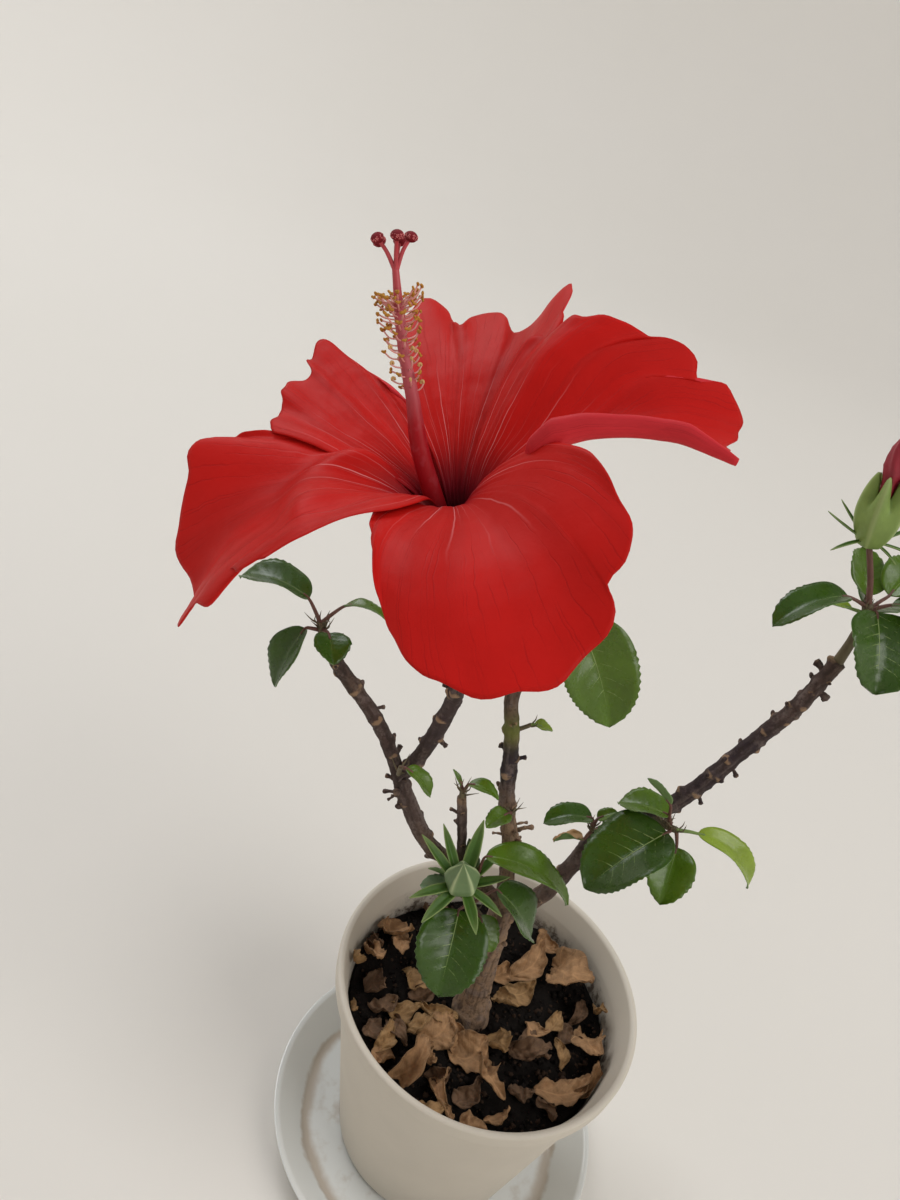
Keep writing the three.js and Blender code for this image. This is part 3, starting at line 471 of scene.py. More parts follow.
def smooth_path(points, step):
    """Evenly spaced points along a centripetal Catmull-Rom curve."""
    given = np.array(points, float)
    ends = [2 * given[0] - given[1], *given, 2 * given[-1] - given[-2]]
    fine = [given[0]]
    for before, start, end, after in zip(ends, ends[1:], ends[2:], ends[3:]):
        pairs = ((before, start), (start, end), (end, after))
        first, middle, last = (np.linalg.norm(b - a) ** 0.5 for a, b in pairs)
        straight = (end - start) / middle
        leave = ((start - before) / first - (end - before) / (first + middle) + straight) * middle
        reach = (straight - (after - start) / (middle + last) + (after - end) / last) * middle
        for t in np.linspace(0, 1, 25)[1:]:
            square = (-3 * start + 3 * end - 2 * leave - reach) * t**2
            cubic = (2 * start - 2 * end + leave + reach) * t**3
            fine.append(start + leave * t + square + cubic)
    fine = np.array(fine)
    travelled = np.concatenate([[0], np.cumsum(np.linalg.norm(np.diff(fine, axis=0), axis=1))])
    places = np.linspace(0, travelled[-1], max(2, int(round(travelled[-1] / step)) + 1))
    return np.stack([np.interp(places, travelled, fine[:, k]) for k in range(3)], axis=1)


def along_path(path, share):
    """The point and direction at a share of an evenly spaced path."""
    place = share * (len(path) - 1)
    low = min(int(place), len(path) - 2)
    return mix(path[low], path[low + 1], place - low), unit(path[low + 1] - path[low])


def path_frames(path):
    """Directions along, sideways and across at each point of a path, that turn as little as they can."""
    along = unit(np.gradient(path, axis=0))
    sideways = [side_of(along[0])]
    for direction in along[1:]:
        sideways.append(unit(sideways[-1] - direction * (sideways[-1] @ direction)))
    sideways = np.array(sideways)
    return along, sideways, np.cross(along, sideways)


def walked(base, steps, length):
    """The points that equal steps lead to from a base, over a length."""
    return base + np.concatenate([[np.zeros(3)], np.cumsum(steps, axis=0)]) * length / len(steps)


def blade_sides(ahead, azimuth, roll):
    """Directions to a blade's right and out of its face, with a roll round its midrib in radians."""
    level = np.array([np.sin(azimuth * DEG), -np.cos(azimuth * DEG), 0])
    side = turned(np.broadcast_to(level, ahead.shape), ahead, roll)
    return side, np.cross(side, ahead)


def laid(spine, side, aside, raised, lift):
    """A grid of points at distances beside a spine and out of its plane."""
    return spine[:, None] + side[:, None] * aside[..., None] + raised[:, None] * lift[..., None]


# Meshes are gathered as parts: points, arrays of faces with four or three corners, and a material number
# for them all or one for each array.
def quads(rows, columns, closed=False):
    """Faces of a grid of points, closed round its columns if asked."""
    across = np.arange(columns if closed else columns - 1)
    row, column = np.meshgrid(np.arange(rows - 1), across, indexing="ij")
    a, b = row * columns + column, row * columns + (column + 1) % columns
    return np.stack([a, b, b + columns, a + columns], axis=-1).reshape(-1, 4)


def closed_rings(rings, ends, paint=0):
    """A closed body over rings of points, with a point at its foot and one at its head."""
    count, sides = rings.shape[:2]
    ring = np.arange(sides)
    beside = (ring + 1) % sides
    top, end = (count - 1) * sides, count * sides
    foot = np.stack([beside, ring, np.full(sides, end)], axis=1)
    head = np.stack([top + ring, top + beside, np.full(sides, end + 1)], axis=1)
    points = np.concatenate([rings.reshape(-1, 3), ends])
    return [(points, [quads(count, sides, closed=True), foot, head], paint)]


def tube(path, radius, sides, paint=0):
    """A closed limb along a path. radius is a number, one for each point or one for each point and side."""
    along, sideways, across = path_frames(path)
    reach = np.asarray(radius, float)
    reach = np.broadcast_to(reach if reach.ndim == 2 else reach.reshape(-1, 1), (len(path), sides))
    rings = path[:, None] + spokes(sideways[:, None], across[:, None], circle(sides)) * reach[..., None]
    bulge = 0.4
    foot = path[0] - along[0] * reach[0].mean() * bulge
    head = path[-1] + along[-1] * reach[-1].mean() * bulge
    return closed_rings(rings, [foot, head], paint)


def sheet(grid, thickness, paints):
    """A thin closed sheet over a grid of points, thinner at its margin, with paints above and below."""
    rows, columns = grid.shape[:2]
    normal = unit(np.cross(np.gradient(grid, axis=1), np.gradient(grid, axis=0)))
    share = np.ones((rows, columns))
    share[[0, -1]] = share[:, [0, -1]] = 0.45
    lift = normal * (share * thickness / 2)[..., None]
    points = np.concatenate([(grid + lift).reshape(-1, 3), (grid - lift).reshape(-1, 3)])
    faces = quads(rows, columns)
    index = np.arange(rows * columns).reshape(rows, columns)
    rim = np.concatenate([index[0, :-1], index[:-1, -1], index[-1, :0:-1], index[:0:-1, 0]])
    after = np.roll(rim, -1)
    half = rows * columns
    sides = np.stack([after, rim, rim + half, after + half], axis=1)
    return [(points, [faces, faces[:, ::-1] + half, sides], (*paints, paints[1]))]


def both_faces(numbers):
    """Numbers for a sheet's points, from those for its grid."""
    return np.tile(numbers.ravel(), 2)


def round_grid(radii, heights, sides):
    """Points at radii and heights, all round the upright axis."""
    x, y = (radii[:, None] * wave(circle(sides)) for wave in (np.cos, np.sin))
    return np.stack([x, y, np.repeat(heights[:, None], sides, axis=1)], axis=-1)


def lathe(outline, cut):
    """A closed body turned about the upright axis from an outline whose corners are rounded by a cut."""
    (_, foot), *middle, (_, head) = rounded(outline, cut)
    radii, heights = np.transpose(middle)
    return closed_rings(round_grid(radii, heights, ROUND_SIDES), [(0, 0, foot), (0, 0, head)])


def rounded(outline, radius, steps=4):
    """An outline whose inner corners are rounded."""
    points = np.array(outline, float)
    result = [points[0]]
    for before, corner, after in zip(points, points[1:], points[2:]):
        leave, reach = before - corner, after - corner
        cut = min(radius, 0.45 * np.linalg.norm(leave), 0.45 * np.linalg.norm(reach))
        start, end = corner + unit(leave) * cut, corner + unit(reach) * cut
        for t in np.linspace(0, 1, steps + 1):
            result.append((1 - t) ** 2 * start + 2 * t * (1 - t) * corner + t**2 * end)
    return [*result, points[-1]]


def ball(centre, size, rings, sides, axis=UP, paint=0):
    """A closed ball, drawn out along an axis where size has two numbers."""
    wide, tall = (size, size) if np.ndim(size) == 0 else size
    lower = np.linspace(0, np.pi, rings + 2)[1:-1, None, None]
    side = side_of(axis)
    level = wide * np.sin(lower) * spokes(side, np.cross(axis, side), circle(sides))
    shell = level - tall * np.cos(lower) * axis
    return closed_rings(centre + shell, [centre - tall * axis, centre + tall * axis], paint)


def make_object(name, parts, materials, values=None):
    """Joins parts into one object, in metres. values holds numbers for each point, by name."""
    offset, points, rows, paints = 0, [], [], []
    for part_points, part_faces, paint in parts:
        points.append(part_points)
        for k, faces in enumerate(part_faces):
            rows.append(faces + offset)
            paints.append(np.full(len(faces), paint[k] if np.ndim(paint) else paint))
        offset += len(part_points)
    points = np.concatenate(points) * MM
    counts = np.concatenate([np.full(len(faces), faces.shape[1]) for faces in rows])
    corners = np.concatenate([faces.ravel() for faces in rows])
    starts = np.concatenate([[0], np.cumsum(counts)[:-1]])
    mesh = bpy.data.meshes.new(name)
    mesh.vertices.add(len(points))
    mesh.loops.add(len(corners))
    mesh.polygons.add(len(counts))
    mesh.vertices.foreach_set("co", points.astype(np.float32).ravel())
    mesh.loops.foreach_set("vertex_index", corners.astype(np.int32))
    mesh.polygons.foreach_set("loop_start", starts.astype(np.int32))
    mesh.polygons.foreach_set("material_index", np.concatenate(paints).astype(np.int32))
    mesh.polygons.foreach_set("use_smooth", np.full(len(counts), True))
    mesh.update(calc_edges=True)
    mesh.validate()
    for label, numbers in (values or {}).items():
        attribute = mesh.attributes.new(label, "FLOAT", "POINT")
        attribute.data.foreach_set("value", np.asarray(numbers, np.float32))
    for made in materials:
        mesh.materials.append(made)
    made_object = bpy.data.objects.new(name, mesh)
    bpy.context.scene.collection.objects.link(made_object)
    return made_object


def make_piece(name, parts, materials, replaced=(), values=None):
    """Joins parts into one piece that rides on the plant's body and stands for the nodes it replaces."""
    piece = make_object(name, parts, materials, values)
    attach(piece, "root")
    if replaced:
        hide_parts(*replaced)


# Looks. Each is a Principled surface, with patterns added by the functions that follow.
class Finish:
    """A material with one Principled surface, and the nodes that give it a pattern."""

    def __init__(self, name, colour, roughness, **sockets):
        self.material = bpy.data.materials.new(name)
        self.material.use_nodes = True
        self.nodes = self.material.node_tree.nodes
        self.surface = self.nodes["Principled BSDF"]
        self.set("Base Color", (*colour, 1))
        self.set("Roughness", roughness)
        for socket, value in sockets.items():
            self.set(socket.replace("_", " "), value)

    def feed(self, socket, value):
        """Links another node's output to a socket, or gives the socket a constant value."""
        if hasattr(value, "links"):
            self.material.node_tree.links.new(value, socket)
        else:
            socket.default_value = value

    def set(self, socket, value):
        self.feed(self.surface.inputs[socket], value)

    def node(self, kind, **inputs):
        made = self.nodes.new(kind)
        for key, value in inputs.items():
            self.feed(made.inputs[key.replace("_", " ")], value)
        return made

    def place(self):
        return self.nodes.new("ShaderNodeTexCoord").outputs["Object"]

    def from_axis(self):
        """How far a point is from the upright axis, and its height, in metres."""
        x, y, height = self.node("ShaderNodeSeparateXYZ", Vector=self.place()).outputs
        return self.math("SQRT", self.plus(self.times(x, x), self.times(y, y))), height

    def attribute(self, name):
        made = self.nodes.new("ShaderNodeAttribute")
        made.attribute_name = name
        return made.outputs["Fac"]

    def noise(self, scale, detail, roughness=0.55, vector=None):
        grain = dict(Scale=scale, Detail=detail, Roughness=roughness, Vector=vector or self.place())
        return self.node("ShaderNodeTexNoise", **grain).outputs["Fac"]

    def math(self, operation, *values, clamp=False):
        made = self.nodes.new("ShaderNodeMath")
        made.operation = operation
        made.use_clamp = clamp
        for socket, value in zip(made.inputs, values):
            self.feed(socket, value)
        return made.outputs[0]

    def times(self, first, second):
        return self.math("MULTIPLY", first, second)

    def plus(self, first, second, clamp=False):
        return self.math("ADD", first, second, clamp=clamp)

    def wander(self, value, scale, detail, amount):
        """A value that noise moves up and down by half an amount."""
        return self.plus(value, self.times(self.math("SUBTRACT", self.noise(scale, detail), 0.5), amount))

    def step(self, value, low, high):
        """0 below low, 1 above high, smooth between. It falls where low is above high."""
        made = self.node(
            "ShaderNodeMapRange", Value=value, From_Min=min(low, high), From_Max=max(low, high),
            To_Min=int(low > high), To_Max=int(low < high),
        )
        made.interpolation_type = "SMOOTHSTEP"
        return made.outputs["Result"]

    def lines(self, place, count, width):
        """Thin lines at even places, so many in two units of place."""
        wave = self.math("ABSOLUTE", self.math("SINE", self.times(place, count * np.pi / 2)))
        return self.step(wave, width, 0)

    def blend(self, share, first, second):
        """A colour between two, each a colour or another blend."""
        made = self.nodes.new("ShaderNodeMix")
        made.data_type = "RGBA"
        self.feed(made.inputs["Factor"], share)
        for key, value in (("A", first), ("B", second)):
            socket = next(s for s in made.inputs if s.name == key and s.type == "RGBA")
            self.feed(socket, value if hasattr(value, "links") else (*value, 1))
        return next(s for s in made.outputs if s.type == "RGBA")

    def patches(self, colour, darkest, lightest, *grain):
        """A colour that wanders between two shades of itself. grain is what noise takes."""
        return self.blend(self.noise(*grain), shade(colour, darkest), shade(colour, lightest))

    def paint(self, colour, *layers):
        """Paints the surface, with layers over its colour: (how much of the layer shows, its colour)."""
        for share, over in layers:
            colour = self.blend(share, colour, over)
        self.set("Base Color", colour)

    def bump(self, height, distance, strength=0.5):
        made = self.node("ShaderNodeBump", Strength=strength, Distance=distance, Height=height)
        self.set("Normal", made.outputs["Normal"])


def shade(colour, factor):
    return tuple(min(1.0, channel * factor) for channel in colour)


def mottled(name, colour, roughness, size, spread=0.25, bump=0.0002, **sockets):
    """A look whose colour wanders round one base colour in patches of a size in metres."""
    made = Finish(name, colour, roughness, **sockets)
    made.paint(made.patches(colour, 1 - spread, 1 + spread, 1 / size, 4))
    made.bump(made.noise(4 / size, 2), bump)
    return made.material


def ridged(name, colour, pale):
    """A look that turns pale where the mesh has a ridge."""
    made = Finish(name, colour, 0.5, Specular_IOR_Level=0.35)
    made.paint(made.patches(colour, 0.72, 1.28, 220, 4), (made.attribute("ridge"), pale))
    made.bump(made.noise(900, 2), 0.0002, 0.4)
    return made.material


def petal_finish(name, red, streaked):
    """Red in darker bands that fan out, painted shade of folds, with a fine dark net, pale streaks near the
    base and a maroon throat.
    """
    deep, pale = (0.16, 0.002, 0.006), (0.86, 0.36, 0.37)
    maroon, throat = (0.15, 0.004, 0.014), (0.018, 0.001, 0.003)
    made = Finish(name, red, 0.48, Specular_IOR_Level=0.09)
    along = made.attribute("along")
    across = made.wander(made.wander(made.attribute("across"), 26, 2, 0.07), 150, 2, 0.03)

    def bands(count, drawn_out, low, high):
        """Soft bands that run up the petal."""
        x, y = made.times(across, count), made.times(along, drawn_out)
        place = made.node("ShaderNodeCombineXYZ", X=x, Y=y)
        return made.step(made.noise(1, 2, vector=place.outputs[0]), low, high)

    def veins(count, width, *limits):
        """Fine lines that run up the petal, and come in or fade between limits."""
        lines = made.lines(across, count, width)
        for low, high in limits:
            lines = made.times(lines, made.step(along, low, high))
        return lines

    dark = made.math("MAXIMUM", veins(17, 0.09, (0.3, 0.5)), veins(47, 0.24, (0.4, 0.65)))
    dark = made.times(dark, bands(19, 5, 0.40, 0.62))
    strong = made.times(veins(11, 0.14, (0.1, 0.2), (0.7, 0.26)), bands(6, 1.2, 0.40, 0.60))
    faint = made.times(veins(29, 0.3, (0.12, 0.2), (0.55, 0.25)), bands(11, 2, 0.45, 0.65))
    streaks = made.math("MAXIMUM", strong, made.times(faint, 0.55))
    made.paint(
        made.patches(red, 0.86, 1.12, 42, 4),
        # Darker bands up the petal: painted shade of its folds.
        (made.times(bands(5, 1, 0.42, 0.68), 0.3), shade(red, 0.55)),
        (made.times(dark, 0.24), deep),
        (made.step(along, 0.52, 0.2), shade(red, 0.82)),
        (made.times(streaks, streaked), pale),
        (made.step(along, 0.38, 0.15), maroon),
        (made.step(along, 0.22, 0.1), throat),
    )
    made.bump(made.plus(made.times(dark, -0.6), made.noise(700, 2)), 0.0001)
    return made.material


def column_finish():
    """Deep red inside the throat, turning a soft pink where the stamens stand."""
    made = Finish("column_red", (0.55, 0.1, 0.1), 0.45, Specular_IOR_Level=0.18)
    along = made.wander(made.attribute("along"), 90, 2, 0.12)
    made.paint(
        made.blend(made.step(along, 0.08, 0.32), (0.13, 0.002, 0.007), (0.38, 0.006, 0.012)),
        (made.step(along, 0.5, 0.74), (0.50, 0.11, 0.13)),
        (made.times(made.step(made.noise(420, 3), 0.5, 0.7), 0.35), (0.45, 0.06, 0.08)),
    )
    made.bump(made.noise(900, 2), 0.0001, 0.4)
    return made.material


def bark_finish():
    """Dark bark, tan or nearly black where the mesh says, with scars, cracks, olive patches and film."""
    dark, tan, black = (0.080, 0.052, 0.044), (0.27, 0.175, 0.11), (0.030, 0.022, 0.030)
    olive, scarred, grey = (0.15, 0.17, 0.035), (0.34, 0.22, 0.13), (0.19, 0.145, 0.13)
    made = Finish("bark", dark, 0.85, Specular_IOR_Level=0.3)
    tone = made.wander(made.attribute("tone"), 120, 3, 0.9)
    scars = made.wander(made.attribute("scar"), 520, 4, 1.1)
    grain = made.attribute("grain")
    made.paint(
        made.blend(made.step(tone, 0.05, 0.95), dark, tan),
        (made.step(tone, -0.05, -0.9), black),
        (made.times(made.step(made.noise(210, 5, 0.65), 0.48, 0.66), 0.55), grey),
        (made.times(made.step(grain, 0.1, 0.8), 0.4), grey),
        (made.times(made.step(grain, -0.05, -0.6), 0.6), shade(dark, 0.4)),
        (made.times(made.step(made.noise(650, 4, 0.7), 0.50, 0.36), 0.55), shade(dark, 0.45)),
        (made.times(made.attribute("green"), 0.85), olive),
        (made.times(made.step(scars, 0.4, 0.85), 0.85), scarred),
    )
    made.bump(made.noise(1300, 5, 0.7), 0.0007, 0.8)
    return made.material


def litter_finish(name, colour):
    """A dry leaf: blotched, darker to its margin, with paler ribs."""
    made = Finish(name, colour, 0.7, Specular_IOR_Level=0.3)
    across = made.math("ABSOLUTE", made.attribute("across"))
    margin = made.step(made.wander(across, 300, 3, 0.8), 0.6, 1.05)
    slanted = made.math("MULTIPLY_ADD", across, -0.3, made.attribute("along"))
    ribs = made.math("MAXIMUM", made.lines(slanted, 14, 0.18), made.step(across, 0.09, 0.02))
    made.paint(
        made.patches(colour, 0.35, 1.6, 260, 4, 0.65),
        (made.times(margin, 0.65), shade(colour, 0.4)),
        (made.times(ribs, 0.5), shade(colour, 1.5)),
    )
    made.bump(made.noise(900, 4, 0.6), 0.0005, 0.6)
    return made.material


def leaf_finish(name, colour):
    """A green in patches, with a low gloss that wanders."""
    made = Finish(name, colour, 0.27, Specular_IOR_Level=0.35, Coat_Weight=0.15, Coat_Roughness=0.15)
    made.paint(made.patches(colour, 0.62, 1.35, 120, 4))
    made.set("Roughness", made.math("MULTIPLY_ADD", made.noise(400, 2), 0.25, 0.17))
    made.bump(made.noise(1500, 3), 0.00025, 0.35)
    return made.material


def pot_finish():
    """Ivory plastic, with soil stains on the inner wall."""
    ivory, stain = (0.60, 0.55, 0.47), (0.07, 0.045, 0.03)
    made = Finish("pot_plastic", ivory, 0.55)
    radius, height = made.from_axis()
    slope = (POT["rim"] - POT["proud"] - POT["base"]) / (POT["top"] - POT["foot"])
    mid_wall = (POT["base"] - POT["foot"] * slope - POT["wall"] / 2) * MM
    wall = made.math("MULTIPLY_ADD", height, slope, mid_wall)
    inside = made.step(made.math("SUBTRACT", wall, radius), -0.0003, 0.0003)
    wavy = made.plus(height, made.times(made.noise(60, 5, 0.7), -0.022))
    low = made.step(wavy, (SOIL["top"] - 3) * MM, (SOIL["top"] - 11) * MM)
    spots = made.plus(made.step(made.noise(260, 5, 0.7), 0.44, 0.66), 0.3, clamp=True)
    dirt = made.times(inside, made.times(low, spots))
    made.paint(made.patches(ivory, 0.93, 1.06, 45, 4), (made.times(dirt, 0.92), stain))
    made.bump(made.noise(1600, 2), 0.00006, 0.4)
    return made.material


def saucer_finish():
    """Glossy white, with the brown ring and spots that water leaves on the floor."""
    white, stain = (0.66, 0.67, 0.65), (0.30, 0.19, 0.09)
    made = Finish("saucer_glaze", white, 0.22, Coat_Weight=0.4, Coat_Roughness=0.1)
    radius, height = made.from_axis()
    wavy = made.plus(radius, made.times(made.noise(55, 4), 0.008))
    ring = made.times(made.step(wavy, 0.055, 0.059), made.step(wavy, 0.0625, 0.0605))
    spots = made.times(made.step(wavy, 0.06, 0.05), made.step(made.noise(120, 4), 0.45, 0.7))
    marks = made.plus(made.times(ring, 0.55), made.times(spots, 0.35), clamp=True)
    made.paint(white, (made.times(made.step(height, 0.0015, 0.0025), marks), stain))
    made.bump(made.noise(300, 2), 0.00003, 0.3)
    return made.material


# Looks in patches: colour, roughness, size of the patches in metres and, for some, how far colour strays.
MOTTLED = dict(
    leaf_dry=((0.42, 0.25, 0.12), 0.8, 0.004, 0.35),
    leaf_under=((0.13, 0.22, 0.07), 0.6, 0.006),
    vein_green=((0.27, 0.37, 0.12), 0.5, 0.004),
    twig_green=((0.16, 0.24, 0.06), 0.5, 0.004),
    stem_brown=((0.12, 0.095, 0.05), 0.7, 0.003, 0.4),
    stalk_brown=((0.13, 0.055, 0.04), 0.6, 0.003, 0.3),
    style_red=((0.50, 0.055, 0.07), 0.45, 0.004),
    filament_pink=((0.80, 0.40, 0.36), 0.5, 0.003),
    anther_gold=((0.50, 0.235, 0.028), 0.8, 0.0007, 0.6),
    anther_pale=((0.66, 0.42, 0.16), 0.7, 0.001, 0.3),
    stigma_red=((0.20, 0.004, 0.012), 0.85, 0.0008, 0.4),
    stigma_rim=((0.62, 0.18, 0.18), 0.85, 0.0008, 0.3),
    bud_red=((0.28, 0.01, 0.025), 0.5, 0.004),
)
looks = {name: mottled(name, *values) for name, values in MOTTLED.items()}
for name, colour in dict(soil_black=(0.008, 0.006, 0.005), crumb_brown=(0.035, 0.021, 0.014)).items():
    looks[name] = mottled(name, colour, 0.95, 0.002, 0.6, 0.0006, Specular_IOR_Level=0.12)
petal_red = petal_finish("petal_red", (0.55, 0.0105, 0.008), 0.85)
petal_under = petal_finish("petal_under", (0.66, 0.035, 0.045), 0.3)
leaf_tints = dict(
    old=leaf_finish("leaf_old", (0.036, 0.085, 0.006)),
    mid=leaf_finish("leaf_mid", (0.075, 0.145, 0.008)),
    young=leaf_finish("leaf_young", (0.23, 0.33, 0.03)),
    pale=leaf_finish("leaf_pale", (0.20, 0.30, 0.17)),
    dry=looks["leaf_dry"],
)
calyx_green = ridged("calyx_green", (0.20, 0.29, 0.07), (0.33, 0.42, 0.16))
bud_green = ridged("bud_green", (0.13, 0.20, 0.085), (0.42, 0.50, 0.27))
bract_green = ridged("bract_green", (0.05, 0.125, 0.012), (0.34, 0.42, 0.16))
litter_tints = [
    litter_finish("litter_tan", (0.33, 0.185, 0.088)),
    litter_finish("litter_brown", (0.14, 0.078, 0.042)),
    litter_finish("litter_ochre", (0.30, 0.175, 0.075)),
]


def looks_of(*names):
    return [looks[name] for name in names]


# Saucer, pot, soil and the dry leaves that lie on it.
def pot_radius(height):
    """The pot's outer radius at a height, below its lip."""
    share = (height - POT["foot"]) / (POT["top"] - POT["foot"])
    return mix(POT["base"], POT["rim"] - POT["proud"], share)


def build_saucer():
    rim, base, height, wall, floor = SAUCER.values()
    outline = [
        (0, 0), (base - 1, 0), (base + 2, 2), (rim - 1, height - 1.5), (rim, height),
        (rim - wall, height), (base + 2 - wall, floor + 0.6), (base - 2, floor), (0, floor),
    ]
    make_piece("saucer_dish", lathe(outline, 1.6), [saucer_finish()], ["saucer"])


def build_pot():
    rim, base, top, wall, floor, lip, _, foot = POT.values()
    under_lip = top - lip
    inside = foot + floor
    outline = [
        (0, foot + 0.6), (base - 7, foot + 0.6), (base - 6, foot), (base - 0.8, foot), (base, foot + 1.5),
        (pot_radius(under_lip), under_lip), (rim - 0.4, under_lip + 0.8), (rim, top - 0.6),
        (rim - 1.3, top + 0.05), (rim - wall, top - 0.8), (pot_radius(under_lip) - wall, under_lip - 2),
        (pot_radius(inside) - wall, inside), (0, inside),
    ]
    make_piece("pot_shell", lathe(outline, 0.8), [pot_finish()], ["pot"])


def soil_height(x, y):
    lumps = np.sin(0.19 * x + 1.3) * np.cos(0.23 * y) + 0.5 * np.sin(0.31 * x - 0.27 * y)
    return SOIL["top"] + SOIL["lump"] * lumps * smooth((np.hypot(x, y) - SOIL["level"]) / SOIL["beyond"])


def build_soil():
    shoulder = SOIL["top"] - 3  # where the bed meets the wall
    edge = pot_radius(shoulder) - POT["wall"] - 0.3
    radii = np.concatenate([np.linspace(edge, 1, 44), [0.01]])
    bed = round_grid(radii, 0 * radii, 150)
    bed[..., 2] = soil_height(bed[..., 0], bed[..., 1])
    bed[..., 2] = bed[..., 2] + 0.9 * noise(bed, 4.5, 3) + 0.6 * noise(bed, 1.9, 4) - 0.6
    skirt = bed[:1].copy()
    skirt[..., 2] = shoulder - 12
    bed = np.concatenate([skirt, bed])
    parts = [(bed.reshape(-1, 3), [quads(*bed.shape[:2], closed=True)], 0)]
    random = np.random.default_rng(11)
    for _ in range(SOIL["crumbs"]):
        away, turn = (edge - 1.5) * np.sqrt(random.random()), 2 * np.pi * random.random()
        size = random.uniform(0.35, 1.1) if random.random() < 0.93 else random.uniform(1.1, 1.8)
        x, y = away * np.cos(turn), away * np.sin(turn)
        at = np.array([x, y, soil_height(x, y) - 0.15 * size - 0.1])
        lump, faces, _ = ball(np.zeros(3), size, 3, 6)[0]
        lump = lump * (1 + 0.45 * noise(lump + 40 * at, size * 0.8, 9))[:, None]
        parts.append((at + lump * random.uniform(0.7, 1.1, 3), faces, int(random.random() < 0.35)))
    make_piece("soil_crumbs", parts, looks_of("soil_black", "crumb_brown"), ["soil"])


def dry_leaf(random, x, y, azimuth, length, width, rise, roll):
    """A dry leaf, rolled, twisted and crumpled. roll is how far each half turns up, in degrees."""
    rows, columns = 37, 17
    share, edge = np.linspace(-0.5, 0.5, rows), np.linspace(-1, 1, columns)
    curl = random.uniform(20, 70) * random.choice([-1, 1])
    ahead = np.array([heading(azimuth + 30 * np.sin(5 * s), rise - curl * s) for s in share])
    steps = ahead * length / (rows - 1)
    spine = np.array([x, y, 0.0]) + np.cumsum(steps, axis=0) - steps.sum(0) / 2
    outline = np.clip(np.sin(np.pi * (share + 0.5) ** 0.85), 0, 1) ** 0.75 + 0.08
    half = width / 2 * outline * (1 + 0.3 * noise(spine + 9, 3.1, 5))
    twist = random.uniform(-0.5, 0.5) + random.uniform(0.6, 1.6) * random.choice([-1, 1]) * share
    side, raised = blade_sides(unit(steps), azimuth, twist)
    turn = roll * DEG * (0.75 + 0.5 * np.sin(4 * share + random.uniform(0, 6)))[:, None]
    radius = 1.15 * half[:, None] / turn
    grid = laid(spine, side, radius * np.sin(edge * turn), raised, radius * (1 - np.cos(edge * turn)))
    shifted = grid + 77 * random.random()
    creases = 3.4 * np.abs(noise(shifted, 4.8, 21)) + 1.9 * np.abs(noise(shifted, 2.4, 22))
    crumple = 2.2 - creases + 0.35 * noise(shifted, 1.1, 24)
    margin = np.abs(edge)
    pleats = 0.55 * np.abs(np.sin(13 * share[:, None] - 5 * margin))
    return grid + raised[:, None] * (crumple * (0.55 + 0.45 * margin) + pleats)[..., None]


def build_litter():
    clear = 1.3  # how far the leaves stay over the soil, so that its lumps don't show through
    random = np.random.default_rng(23)
    parts = []
    for *shape, tint in LITTER:
        grid = dry_leaf(random, *shape)
        ground = soil_height(grid[..., 0], grid[..., 1])
        grid[..., 2] += SOIL["top"] + 0.5 - np.percentile(grid[..., 2] - ground + SOIL["top"], 6)
        above = grid[..., 2] - ground - clear
        grid[..., 2] = np.where(above < 0, ground + clear + 0.2 * above, grid[..., 2])
        room = pot_radius(grid[..., 2]) - POT["wall"] - 0.7
        reach = np.hypot(grid[..., 0], grid[..., 1])
        held = np.where(reach > room, room - 0.25 * np.tanh(reach - room), reach) / reach
        grid[..., :2] *= held[..., None]
        parts += sheet(grid, 0.35, (tint, tint))
    rows, columns = grid.shape[:2]
    along, across = np.meshgrid(np.linspace(0, 1, rows), np.linspace(-1, 1, columns), indexing="ij")
    across, along = (np.tile(both_faces(numbers), len(LITTER)) for numbers in (across, along))
    make_piece("dry_leaves", parts, litter_tints, (), {"across": across, "along": along})


# Limbs, with knots, scars, ridges and dead stubs in their bark.
def spread_round(angle, turn):
    """How far an angle lies from another round a limb, in radians."""
    return np.abs((angle - turn + np.pi) % (2 * np.pi) - np.pi)


def leaf_scar(spot, above, aside, size, seed):
    """The knob of a scar, its ledge round the limb and its rim, at distances above it and to its side."""
    apart = above / (1.4 * size) + 0.45 * noise(spot, 1.1, seed + 6)
    aside = aside / (2.0 * size) + 0.3 * np.abs(noise(spot, 1.2, seed + 7))
    knob = np.exp(-(apart**2) - aside**2) * (1 + 0.6 * noise(spot, 1.3, seed + 4))
    ledge = np.exp(-(above**2) / 0.8) * (0.35 + 0.65 * np.exp(-(aside**2) / 5))
    rim = np.exp(-((np.hypot(apart, aside) - 0.85) ** 2) / 0.08)
    return knob, ledge, rim * smooth(0.6 + 1.3 * noise(spot, 1.6, seed + 8))


